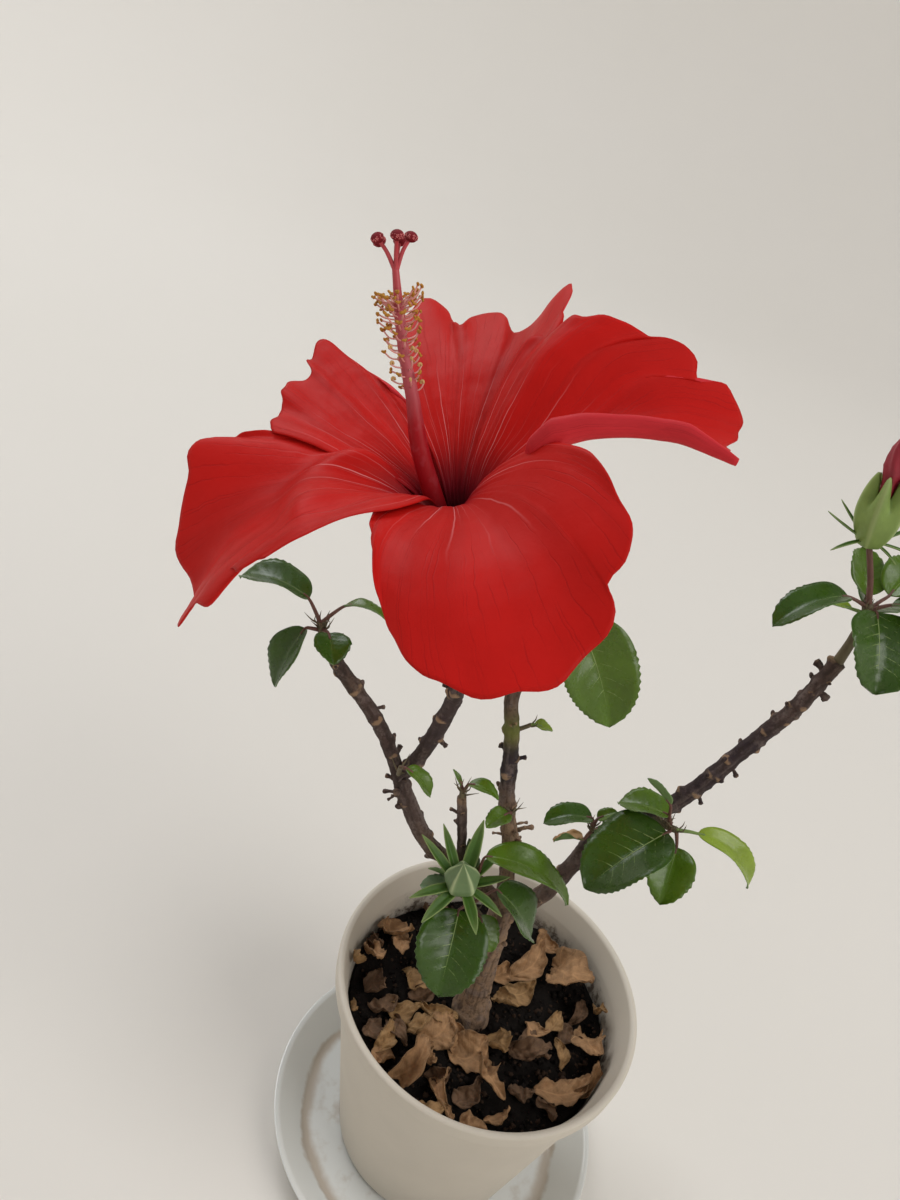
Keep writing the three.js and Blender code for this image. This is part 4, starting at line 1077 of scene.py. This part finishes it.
def limb(spec, seed, sides=28):
    """A limb's parts, and for each of their points how much is scar, its grain, its tone and its green."""
    step, bud_sides, twig_sides = 0.6, 9, 9
    (thick, thin), line = spec["radii"], smooth_path(spec["path"], step)
    share = np.linspace(0, 1, len(line))[:, None]
    length = step * (len(line) - 1)
    angle = circle(sides)
    random = np.random.default_rng(seed)
    radius = mix(thick, thin, share) + spec.get("flare", 0) * np.exp(-14 * np.clip(share - 0.1, 0, 1))
    radius = np.repeat(radius, sides, axis=1)
    height = np.repeat(share * length, sides, axis=1)
    spot = np.stack([radius * np.cos(angle), radius * np.sin(angle), height], axis=-1)
    radius += 0.09 * thick * noise(spot, 7, seed) + 0.05 * thick * noise(spot, 2.4, seed + 1)
    grain = noise(spot * [1, 1, 0.09], 0.85, seed + 2) + 0.5 * noise(spot * [1, 1, 0.2], 0.4, seed + 5)
    radius += 0.19 * grain + 0.07 * noise(spot, 0.7, seed + 3)
    along, sideways, across = path_frames(line)
    scar, growths = np.zeros_like(radius), []
    for k in range(spec["scars"]):
        at = length * ((k + 0.5 + random.uniform(-0.42, 0.42)) / spec["scars"]) ** spec.get("crowd", 1)
        turn = k * SPIRAL * DEG + random.uniform(-0.7, 0.7)
        size = random.uniform(0.6, 1.3) * min(1.0, thick / 3)
        aside = spread_round(angle, turn) * thick
        knob, ledge, rim = leaf_scar(spot, share * length - at, aside, size, seed)
        radius += size * (0.75 * knob + 0.28 * ledge + 0.16 * rim)
        scar = np.maximum(scar, np.maximum(0.8 * rim, 0.55 * knob + 0.38 * ledge))
        if random.random() < 0.4:
            i = min(int(at / step), len(line) - 1)
            out = spokes(sideways[i], across[i], turn)
            centre, axis = line[i] + out * (thick + 0.5 * size), unit(out + 0.8 * along[i])
            bud = ball(centre, (0.85 * size, 1.35 * size), 5, bud_sides, axis)
            growths.append((bud, np.full(len(bud[0][0]), 0.38)))
    for at, azimuth, rise, reach, wide in spec.get("stubs", []):
        root, _ = along_path(line, at)
        out = heading(azimuth, rise)
        start = root + out * 0.6 * thick
        middle = start + out * (0.5 * reach + 1) + UP * 0.12 * reach
        twig = smooth_path([start, middle, start + out * (reach + 1.4)], 0.35)
        wave = wide * (0.85 + 0.3 * noise(twig, 1.1, seed + 9))
        wave[-3:] *= 1.25
        near_tip = np.arange(len(twig)) > len(twig) - 3
        scarred = [np.repeat(0.2 + 0.25 * near_tip, twig_sides), [0.2, 0.6]]
        growths.append((tube(twig, wave, twig_sides), np.concatenate(scarred)))
    parts = tube(line, radius, sides)
    scars, grains = [scar.ravel(), [0.2, 0.6]], [grain.ravel(), [0, 0]]
    shares = [np.repeat(share.ravel(), sides), [0, 1]]
    for (part,), scarred in growths:
        points = part[0]
        nearest = np.argmin(np.linalg.norm(line - points.mean(0), axis=-1))
        parts.append(part)
        scars.append(scarred)
        grains.append(noise(points, 0.8, seed))
        shares.append(np.full(len(points), nearest / (len(line) - 1)))
    where = np.concatenate(shares)
    middle, spread = spec.get("green", (-99, 1))
    return parts, dict(
        scar=np.concatenate(scars),
        grain=np.concatenate(grains),
        tone=np.interp(where, *np.transpose(spec["tone"])),
        green=np.exp(-(((where - middle) / spread) ** 2)),
    )


def build_limbs():
    bark = bark_finish()
    parts, values = limb(TRUNK, 5, 36)
    make_piece("trunk_bark", parts, [bark], ["trunk"], values)
    for k, (name, spec) in enumerate(BOUGHS.items()):
        parts, values = limb(spec, 31 + 7 * k)
        make_piece(name + "_bark", parts, [bark], [name], values)


# Leaves, by the same rule as the solid model.
def leaf_outline(share):
    """Half width of a blade at a share of its length: broad at the base, drawn out to a point."""
    return 2.43 * share**0.55 * (1 - share) ** 0.75


def blade_grid(base, shape, seed):
    """A drooping blade, folded up along its midrib, puffed between its veins, wavy and toothed."""
    azimuth, rise, length, width, droop, roll = shape
    rows, columns, fold = 37, 11, 21 * DEG
    share = np.linspace(0, 1, rows)
    ahead = np.array([heading(azimuth, rise - droop * s) for s in share])
    spine = walked(base, (ahead[1:] + ahead[:-1]) / 2, length)
    side, raised = blade_sides(ahead, azimuth, roll * DEG)
    toothed = np.clip((share - 0.38) / 0.62, 0, 1) * max(4, round(length / 3.2))
    saw = (toothed % 1) * (toothed > 0) * (share < 0.97)
    half = np.clip(leaf_outline(share), 0.03, 1) + 0.085 * (saw - 0.4) * smooth((share - 0.36) / 0.1)
    share, half = share[:, None], width / 2 * half[:, None]
    edge = np.linspace(-1, 1, columns)
    margin = np.abs(edge)
    wave = np.sin(2 * np.pi * (1.3 * share + 0.37 * seed)) * np.sign(edge)
    between = np.abs(np.sin(np.pi * (share - 0.24 * margin) * 7))
    puff = 0.028 * width * (between - 0.5) * margin**0.5 * (1 - edge**4)
    lift = half * margin**1.15 * np.sin(fold) + puff * smooth(share / 0.15)
    lift = lift + 0.05 * width * wave * edge**2 * smooth(share / 0.3)
    return laid(spine, side, half * edge * np.cos(fold), raised, lift)


def on_grid(grid, share, edge):
    """Points of a blade's surface at shares of its length and places across it from -1 to 1."""
    rows, columns = grid.shape[:2]
    row, column = np.clip(share, 0, 1) * (rows - 1), (np.clip(edge, -1, 1) + 1) / 2 * (columns - 1)
    i, j = np.minimum(row.astype(int), rows - 2), np.minimum(column.astype(int), columns - 2)
    a, b = (row - i)[:, None], (column - j)[:, None]
    return mix(mix(grid[i, j], grid[i, j + 1], b), mix(grid[i + 1, j], grid[i + 1, j + 1], b), a)


def vein(grid, share, edge, width, height, lifted):
    """A thin raised rib over a blade, that narrows to its end."""
    line = on_grid(grid, share, edge)
    ahead = unit(np.gradient(line, axis=0))
    beside = on_grid(grid, share, edge + 0.08) - on_grid(grid, share, edge - 0.08)
    normal = unit(np.cross(beside, ahead))
    narrow = np.linspace(1, 0.15, len(line))[:, None]
    line = line + normal * lifted
    out, sunk = np.cross(ahead, normal) * width * narrow / 2, normal * 0.1
    ridge = np.stack([line - out - sunk, line + normal * height * narrow, line + out - sunk], axis=1)
    last = 3 * (len(line) - 1)
    ends = np.array([[2, 1, 0], [last, last + 1, last + 2]])
    return ridge.reshape(-1, 3), [quads(len(line), 3, closed=True), ends], 0


def leaf_veins(grid, width):
    """A blade's midrib, and six side veins on each half that rise towards its tip."""
    thick = max(0.27, 0.021 * width)
    parts = [vein(grid, np.linspace(0.0, 0.95, 16), np.zeros(16), 1.6 * thick, 0.6 * thick, 0.12)]
    t = np.linspace(0, 1, 9)
    for k in range(6):
        share = 0.03 + 0.125 * k + (0.26 - 0.012 * k) * t**1.1
        for sign in (-1, 1):
            parts.append(vein(grid, share, sign * 0.9 * t**0.9, 0.8 * thick, 0.3 * thick, 0.1))
    return parts


def thorn(points, radius, paint):
    """A thin spike that narrows to a point."""
    line = smooth_path(points, 0.5)
    return tube(line, np.linspace(radius, 0.05, len(line)), 6, paint)


def build_leaves():
    into_blade = 2.4  # how far a stalk runs on along its blade
    blades, veins, stalks = [], [], []
    tints = list(leaf_tints)
    green, brown, reddish = range(3)
    seed = 0
    for spec in MASSES.values():
        line = smooth_path(spec["stem"], 0.8)
        thick = mix(*spec["radii"], np.linspace(0, 1, len(line))) * (1 + 0.08 * noise(line, 2.5, 7))
        stalks += tube(line, thick, 12, brown)
        for at, (turn, rise, reach), shape, tint in spec["leaves"]:
            seed += 1
            root, _ = along_path(line, at)
            base = root + heading(turn, rise) * reach
            middle = mix(root, base, 0.55) + UP * 0.04 * reach
            bend = smooth_path([root, middle, base, base + heading(*shape[:2]) * into_blade], 0.5)
            slim = mix(0.75, 0.42, np.linspace(0, 1, len(bend)))
            stalks += tube(bend, slim, 8, green if tint == "young" else reddish)
            for aside in (turn - 40, turn + 40):
                start = root + heading(aside, 0) * 0.7
                ahead = [start + heading(aside, 45) * 2, start + heading(aside, 70) * 4]
                stalks += thorn([start, *ahead], 0.34, brown)
            grid = blade_grid(base, shape, seed)
            if tint == "dry":
                grid = grid + 1.1 * np.stack([noise(grid, 3, axis) for axis in range(3)], axis=-1)
            else:
                veins += leaf_veins(grid, shape[3])
            blades += sheet(grid, 0.38, (tints.index(tint), len(tints)))
        for k in range(spec.get("spikes", 0)):
            root, _ = along_path(line, 0.35 + 0.65 * k / spec["spikes"])
            out = heading(k * SPIRAL + 20, 15 + 28 * (k % 3))
            stalks += thorn([root, root + out * 3.4, root + out * 6 + UP * (k % 2)], 0.42, brown)
    make_piece("leaf_blades", blades, [*leaf_tints.values(), looks["leaf_under"]], list(MASSES))
    make_piece("leaf_veins", veins, looks_of("vein_green"))
    make_piece("leaf_stalks", stalks, looks_of("twig_green", "stem_brown", "stalk_brown"))


# The bloom. A point has an angle round its axis, a distance up a petal and a lift off the funnel.
bloom_axis = unit(np.array(BLOOM["axis"]))
bloom_side = side_of(bloom_axis)
bloom_back = np.cross(bloom_axis, bloom_side)
azimuths = np.array([spec["azimuth"] for spec in PETALS] + [PETALS[0]["azimuth"] + 360], float)
stations = np.sort(np.concatenate([azimuths, (azimuths[1:] + azimuths[:-1]) / 2]))
station_slopes = np.array([*BLOOM["slopes"], BLOOM["slopes"][0]], float)


def slope_at(angle, share):
    """The funnel's slope in radians, at an angle and a share of the petals' reach."""
    angle = (angle - stations[0]) % 360 + stations[0]
    place = np.clip(np.searchsorted(stations, angle, side="right") - 1, 0, len(stations) - 2)
    part = smooth((angle - stations[place]) / (stations[place + 1] - stations[place]))[..., None]
    slopes = mix(station_slopes[place], station_slopes[place + 1], part)
    drooped = smooth((share - BLOOM["droops"]) / (1 - BLOOM["droops"]))
    beyond = mix(slopes[..., 0], slopes[..., 1], drooped)
    return mix(BLOOM["throat_slope"], beyond, smooth(share / BLOOM["opened"])) * DEG


def funnel(angle, distance):
    """The funnel's radius, height and slope, at an angle and a distance up it."""
    steps = 28
    radius, height = np.full(np.shape(angle), float(BLOOM["claw"])), np.zeros(np.shape(angle))
    for k in range(steps):
        slope = slope_at(angle, (k + 0.5) / steps * distance / BLOOM["reach"])
        radius = radius + np.cos(slope) * distance / steps
        height = height + np.sin(slope) * distance / steps
    return radius, height, slope_at(angle, distance / BLOOM["reach"])


def bloom_point(angle, distance, lift):
    radius, height, slope = funnel(angle, distance)
    out = radius - lift * np.sin(slope)
    up = height + lift * np.cos(slope)
    level = spokes(bloom_side, bloom_back, angle * DEG)
    return np.array(BLOOM["base"]) + bloom_axis * up[..., None] + level * out[..., None]


def border(places, count):
    """Evenly spaced angles and distances along a petal's border."""
    arc = 0.8  # millimetres that a degree counts for where the border is measured
    line = smooth_path([(angle * arc, distance, 0) for angle, distance in places], 0.25)
    spread, steps = np.linspace(0, len(line) - 1, count), np.arange(len(line))
    angle, distance = (np.interp(spread, steps, line[:, k]) for k in range(2))
    return np.stack([angle / arc, distance], axis=-1)


def rolled_margin(grid, hem, columns):
    """Adds columns to a petal's clockwise side that roll up and over."""
    turns = 2.5  # radians that the margin rolls through
    radius = np.interp(np.linspace(0, 1, len(grid)), *np.transpose(hem))[:, None, None] / turns
    inward = unit(grid[:, 4] - grid[:, 0])[:, None]
    up = unit(np.cross(np.gradient(grid[:, 0], axis=0), inward[:, 0]))[:, None]
    roll = turns * np.linspace(1, 0, columns + 1)[:-1][None, :, None]
    strip = grid[:, :1] - inward * radius * np.sin(roll) + up * radius * (1 - np.cos(roll))
    return np.concatenate([strip, grid], axis=1)


def petal_lift(spec, seed, edge, to_rim, turn, up):
    """How far a petal is off the funnel: its overlap, ruffled rim, ribs, crinkles, swells and crest."""
    ruffle = 0.9 * np.sin(9 * edge + 2.3 * seed) + 0.6 * np.sin(19 * edge + 1.1 * seed)
    ribs = 0.10 * np.cos(7 * np.pi * edge + seed) + 0.04 * np.cos(17 * np.pi * edge)
    lift = BLOOM["overlap"] * edge * np.clip(up / 18, 0, 1)
    lift = lift + ruffle * to_rim**6 + ribs * smooth(up / 20) * (1 - to_rim**8)
    flat = np.stack([edge * 32, up, np.full_like(up, 50.0 * seed)], axis=-1)
    crinkle = 0.30 * noise(flat, 9, seed) + 0.12 * noise(flat, 3.5, seed + 40)
    lift = lift + (crinkle + 0.05 * noise(flat, 1.5, seed + 80)) * smooth(up / 25)
    for at_turn, at_up, wide, long, height in spec.get("swells", []):
        lift = lift + height * np.exp(-(((turn - at_turn) / wide) ** 2) - ((up - at_up) / long) ** 2)
    if "crest" in spec:
        high, inner, outer = 3.6, 11, 5.5
        beyond = up - np.interp(turn, *np.transpose(spec["crest"]))
        arch = np.exp(-((beyond / np.where(beyond < 0, inner, outer)) ** 2))
        lift = lift + high * arch * smooth((turn + 40) / 14) * smooth((40 - turn) / 18)
    return lift


def petal_grid(spec, seed):
    """A petal's points, and how far across and along it each one lies."""
    rows, columns = 84, 97
    sides = (("before", 0), ("after", -1))
    before, after = (border([*spec[side], spec["rim"][corner]], rows) for side, corner in sides)
    rim = border(spec["rim"], columns)
    s, t = np.linspace(0, 1, columns)[None, :, None], np.linspace(0, 1, rows)[:, None, None]
    corners = mix(mix(before[0], before[-1], t), mix(after[0], after[-1], t), s)
    claw = mix(before[0], after[0], s)
    place = mix(claw, rim[None], t) + mix(before[:, None], after[:, None], s) - corners
    edge = np.repeat(2 * s[..., 0] - 1, rows, axis=0)
    to_rim = np.repeat(t[..., 0], columns, axis=1)
    scallop = 0.5 * np.sin(23 * edge + 2.9 * seed) + 0.3 * np.sin(41 * edge + seed)
    frayed = noise(np.stack([edge * 34, 0 * edge, 0 * edge + 9.5 * seed], axis=-1), 1.7, 3)
    turn, up = place[..., 0], place[..., 1] + scallop * to_rim**4 + 0.5 * frayed * to_rim**9
    up = np.maximum(up, 0)
    grid = bloom_point(spec["azimuth"] + turn, up, petal_lift(spec, seed, edge, to_rim, turn, up))
    across, along = edge, up / BLOOM["reach"]
    if "hem" in spec:
        added = 12
        grid = rolled_margin(grid, spec["hem"], added)
        across, along = (np.pad(numbers, ((0, 0), (added, 0)), "edge") for numbers in (across, along))
        across[:, :added] -= 0.3 * np.linspace(1, 0, added + 1)[:-1]
    return grid, across, along


def build_petals():
    for seed, spec in enumerate(PETALS, 1):
        grid, across, along = petal_grid(spec, seed)
        values = {"across": both_faces(across), "along": both_faces(along)}
        parts, name = sheet(grid, BLOOM["thick"], (1, 0)), spec["name"]
        make_piece(name + "_sheet", parts, [petal_red, petal_under], [name], values)


def bract_grid(base, azimuth, rise, length, width, curve):
    """A thin bract, keeled along its middle, that bends down by a curve in degrees."""
    rows, columns = 14, 9
    share = np.linspace(0, 1, rows)
    ahead = np.array([heading(azimuth, rise - curve * s) for s in share])
    side, raised = blade_sides(ahead, azimuth, 0.0)
    edge = np.linspace(-1, 1, columns)
    half = width / 2 * np.interp(share, [0, 0.25, 0.5, 0.8, 1], [0.7, 0.95, 1, 0.62, 0.06])[:, None]
    return laid(walked(base, ahead[1:], length), side, half * edge, raised, 0.55 * half * np.abs(edge))


def build_calyx():
    base = np.array(BLOOM["base"])
    angles = np.arange(0, 360, 360 / 75)
    from_petal = angles - PETALS[0]["azimuth"]
    lobes = np.abs(np.cos(2.5 * (from_petal - 36) * DEG)) ** 1.5
    ribs = 0.25 * np.cos(10 * from_petal * DEG)

    def row(share, lift):
        reach = share * (CALYX["tube"] + CALYX["lobe"] * lobes) - 0.3
        return bloom_point(angles, reach, -(lift + ribs * (1 - share)))

    disc = spokes(bloom_side, bloom_back, angles * DEG)
    rings = [base - bloom_axis * drop + disc * radius for drop, radius in CALYX["foot"]]
    rings += [row(share, CALYX["under"] + CALYX["thick"]) for share in np.linspace(0, 1, 9)]
    rings += [row(share, CALYX["under"]) for share in np.linspace(1, 0, 9)]
    parts = closed_rings(np.array(rings), [base - bloom_axis * CALYX["foot"][0][0], base])
    for k in range(CALYX["bracts"]):
        out = spokes(bloom_side, bloom_back, 2 * np.pi * k / CALYX["bracts"] + 0.4)
        aim = unit(out + 0.45 * bloom_axis)
        azimuth, rise = np.arctan2(aim[1], aim[0]) / DEG, np.arcsin(aim[2]) / DEG
        root = base - bloom_axis * 5.5 + out * 3.6
        parts += sheet(bract_grid(root, azimuth, rise, CALYX["bract"], CALYX["width"], -20), 0.4, (1, 1))
    make_piece("bloom_calyx_cup", parts, [calyx_green, bract_green], ["bloom_calyx"])
    line = smooth_path(BLOOM_STALK, 0.7)
    share = np.linspace(0, 1, len(line))
    thick = mix(1.5, 1.35, share) + 0.5 * np.exp(-((share - 0.62) ** 2) / 0.002)
    stem = tube(line, thick, 14)
    make_piece("bloom_stalk_stem", stem, looks_of("twig_green"), ["bloom_stalk"])


def build_column():
    line = smooth_path(COLUMN["path"], 0.7)
    share = np.linspace(0, 1, len(line))
    thick = np.interp(share, *np.transpose(COLUMN["radii"])) * (1 + 0.04 * noise(line, 3, 6))
    column, pink, gold, pale = range(4)
    parts = tube(line, thick, 22, column)
    random = np.random.default_rng(3)
    for i in range(COLUMN["stamens"]):
        crowd = 1 - (1 - (i + 0.5) / COLUMN["stamens"]) ** 2.3
        root, along = along_path(line, mix(*COLUMN["stamens_at"], crowd))
        out = turned(side_of(along), along, i * SPIRAL * DEG + random.uniform(-0.2, 0.2))
        reach = mix(*COLUMN["filament"], crowd**2) * random.uniform(0.65, 1.1)
        rising = random.uniform(0.3, 0.7)
        middle = root + out * (reach * 0.6 + 0.8) + along * reach * 0.15
        tip = root + out * (reach + 0.8) + along * reach * rising
        parts += tube(smooth_path([root, middle, tip], 0.6), 0.2, 6, pink)
        aim = unit(np.cross(out, along) + 0.5 * random.normal(size=3))
        size = random.uniform(0.6, 0.85)
        if crowd < 0.5 and i % 2 == 0:  # a spent one low down, with a hook in place of its anther
            hook = [tip, tip + along * 0.6, tip + along * 0.6 - out * 0.6, tip - out * 0.6]
            parts += tube(smooth_path(hook, 0.25), 0.3, 6, pale)
            continue
        for sign in (-1, 1):
            spot = tip + sign * aim * 0.42 * size + along * 0.12 * sign
            parts += ball(spot, (0.5 * size, 0.85 * size), 5, 8, unit(aim + sign * 0.5 * along), gold)
    beyond = sum(len(points) for points, _, _ in parts[1:])
    along = np.concatenate([np.repeat(share, 22), [0, 1], np.ones(beyond)])
    finishes = [column_finish(), *looks_of("filament_pink", "anther_gold", "anther_pale")]
    make_piece("stamen_column", parts, finishes, ["staminal_column"], {"along": along})


def build_style():
    random = np.random.default_rng(8)
    start, top = np.array(COLUMN["path"][-1], float), np.array(STYLE["fork"], float)
    along = unit(top - start)
    stem = smooth_path([start - along, top + along * 0.5], 0.7)
    parts = tube(stem, STYLE["radius"] * np.linspace(1.15, 0.85, len(stem)), 14)
    spread, stigma = STYLE["spread"] * DEG, STYLE["stigma"]
    for k in range(STYLE["branches"]):
        out = turned(side_of(along), along, 2 * np.pi * k / STYLE["branches"] + 1.3)
        tip = top + (along * np.cos(spread) + out * np.sin(spread)) * STYLE["reach"]
        middle = mix(top, tip, 0.5) + along * 0.7
        branch = smooth_path([top - along * 0.6, middle, tip], 0.6)
        parts += tube(branch, np.linspace(0.55, 0.45, len(branch)), 10)
        face = unit(0.5 * (tip - middle) + along * 1.2)
        side = side_of(face)
        across = np.cross(face, side)
        parts += ball(tip, (stigma, stigma * 0.8), 9, 20, face, 1)
        for _ in range(STYLE["hairs"]):
            aim = unit(random.normal(size=3))
            at_rim = abs(aim @ face) < 0.6
            edge, paint = (1.0, 2) if at_rim else (0.6, 1)
            flat = side * (aim @ side) + across * (aim @ across)
            spot = tip + stigma * 0.98 * flat + face * (aim @ face) * 0.9
            parts += ball(spot, 0.17 * edge, 2, 5, UP, paint)
    finishes = looks_of("style_red", "stigma_red", "stigma_rim")
    make_piece("style_stigmas", parts, finishes, ["style_branches"])


# Buds.
def bud_shape(bud, share):
    """A bud's width at shares of its length, against its radius."""
    if bud["opened"]:
        return np.sin(np.pi * np.clip(0.12 + 0.85 * share, 0, 1)) ** 0.7
    return np.interp(share, [0, 0.1, 0.25, 0.4, 0.6, 0.8, 1], [0.45, 0.78, 0.98, 1, 0.78, 0.42, 0.03])


def bud_rings(bud, angle, shares, scales, lobes, twists):
    """Rings round a bud's axis at shares of its length, each with five lobes turned by a twist."""
    along = unit(np.array(bud["axis"], float))
    side = side_of(along)
    level = spokes(side, np.cross(along, side), angle)
    rings = []
    for share, scale, lobe, twist in np.transpose(np.broadcast_arrays(shares, scales, lobes, twists)):
        reach = bud["radius"] * scale * (1 + lobe * (2 * np.abs(np.cos(2.5 * angle + twist)) ** 3 - 1))
        rings.append(np.array(bud["base"]) + along * share * bud["length"] + level * reach[:, None])
    return np.array(rings), along


def bud_body(rings, below, above, axis):
    """A closed body over a bud's rings, with points below and above it."""
    return closed_rings(rings, [rings[0].mean(0) - axis * below, rings[-1].mean(0) + axis * above])


def build_bud(name, bud, replaced):
    opened = bud["opened"]
    top = 0.86 if opened else 1
    shares = np.linspace(0, top, 26)
    angle = circle(60)
    ridged_by = np.abs(np.cos(2.5 * angle + BUD_TURN))
    lobes = 0.05 + 0.07 * smooth(shares)
    rings, along = bud_rings(bud, angle, shares, bud_shape(bud, shares), lobes, BUD_TURN)
    if opened:
        inner = np.linspace(top, 0.6, 8)
        inside, _ = bud_rings(bud, angle, inner, bud_shape(bud, inner) - 0.12, 0.05, BUD_TURN)
        rings = np.concatenate([rings, inside])
        tip, notch = 2.2, 5
        open_to = smooth((np.concatenate([shares, inner]) - 0.42) / 0.44)[:, None]
        drawn = open_to * (tip * ridged_by**3 - notch * (1 - ridged_by) ** 1.3)
        rings = rings + along * drawn[..., None]
    parts = bud_body(rings, 0.4, 0.0 if opened else 0.5, along)
    values = [np.tile(ridged_by**26, len(rings)), [0, 1]]
    root = np.array(bud["base"]) + along * 1.2
    for azimuth, rise, length, width in bud["bracts"]:
        base = root + heading(azimuth, 0) * 2
        grid = bract_grid(base, azimuth, rise, length, width, 14 if rise < 10 else -12)
        parts += sheet(grid, 0.4, (1, 1))
        to_tip, aside = np.linspace(0, 1, len(grid))[:, None], np.abs(np.linspace(-1, 1, grid.shape[1]))
        values.append(both_faces(0.6 * np.maximum(to_tip**6, aside**12)))
    finishes = [calyx_green if opened else bud_green, bract_green]
    make_piece(name, parts, finishes, replaced, {"ridge": np.concatenate(values)})


def build_bud_petals(bud):
    shares = [0.62, 0.72, 0.86, 0.95, 1.05, 1.16, 1.28, 1.37, 1.45]
    scales = [0.4, 0.37, 0.36, 0.42, 0.48, 0.45, 0.38, 0.25, 0.08]
    rings, along = bud_rings(bud, circle(60), shares, scales, 0.12, np.arange(9) * 0.5)
    petals = bud_body(rings, 0, 0.3, along)
    make_piece("bud_petals_rolled", petals, looks_of("bud_red"), ["right_bud_petals"])
    stem = tube(smooth_path(bud["stalk"], 0.7), 0.9, 12)
    make_piece("bud_stalk_stem", stem, looks_of("stalk_brown"), ["right_bud_stalk"])


build_saucer()
build_pot()
build_soil()
build_litter()
build_limbs()
build_leaves()
build_petals()
build_calyx()
build_column()
build_style()
build_bud("bud_calyx_right", BUDS["right"], ["right_bud_calyx"])
build_bud_petals(BUDS["right"])
build_bud("bud_low", BUDS["low"], ["low_bud"])


# Stage: a pale floor that curves up into a wall all round, soft light and the camera.
def build_stage():
    flat, curve, top, around = 1700, 1300, 3000, 96
    bend = np.linspace(0, 90, 16)[1:] * DEG
    radii = np.concatenate([[0.5, 300, 900, flat], flat + curve * np.sin(bend), [flat + curve]])
    heights = np.concatenate([[0, 0, 0, 0], curve * (1 - np.cos(bend)), [top]])
    rings = round_grid(radii, heights, around)
    finish = Finish("floor_pale", (0.76, 0.73, 0.68), 0.7)
    finish.paint(finish.blend(finish.noise(2, 3), (0.75, 0.72, 0.67), (0.77, 0.74, 0.70)))
    part = (rings.reshape(-1, 3), [quads(len(rings), around, closed=True)[:, ::-1]], 0)
    make_object("floor", [part], [finish.material])


def add_light(name, place, target, size, power, colour):
    data = bpy.data.lights.new(name, "AREA")
    data.shape = "RECTANGLE"
    data.size, data.size_y = size
    data.energy = power
    data.color = colour
    lamp = bpy.data.objects.new(name, data)
    lamp.location = place
    lamp.rotation_euler = (Vector(target) - Vector(place)).to_track_quat("-Z", "Y").to_euler()
    bpy.context.scene.collection.objects.link(lamp)


def build_lights():
    aim = (-0.02, 0, 0.2)
    add_light("window", (-1.5, 1.4, 2.3), aim, (1.7, 1.4), 36, (0.96, 0.98, 1.0))
    add_light("room", (1.8, -0.9, 2.3), aim, (2.0, 1.7), 40, (1.0, 0.98, 0.95))
    world = bpy.data.worlds.new("room_light")
    bpy.context.scene.world = world
    world.use_nodes = True
    around = world.node_tree.nodes["Background"].inputs
    around["Color"].default_value = (0.95, 0.97, 1.0, 1)
    around["Strength"].default_value = 0.27


def build_camera():
    data = bpy.data.cameras.new("view")
    data.lens = 28
    data.sensor_width = 36
    data.clip_start = 0.01
    camera = bpy.data.objects.new("view", data)
    turn = Matrix.Rotation(57.9 * DEG, 4, "X") @ Matrix.Rotation(16.5 * DEG, 4, "Z")
    camera.matrix_world = Matrix.Translation((-0.057, -0.235, 0.4155)) @ turn
    bpy.context.scene.collection.objects.link(camera)
    bpy.context.scene.camera = camera


build_stage()
build_lights()
build_camera()
bpy.context.scene.view_settings.view_transform = "Standard"

bpy.context.view_layer.update()
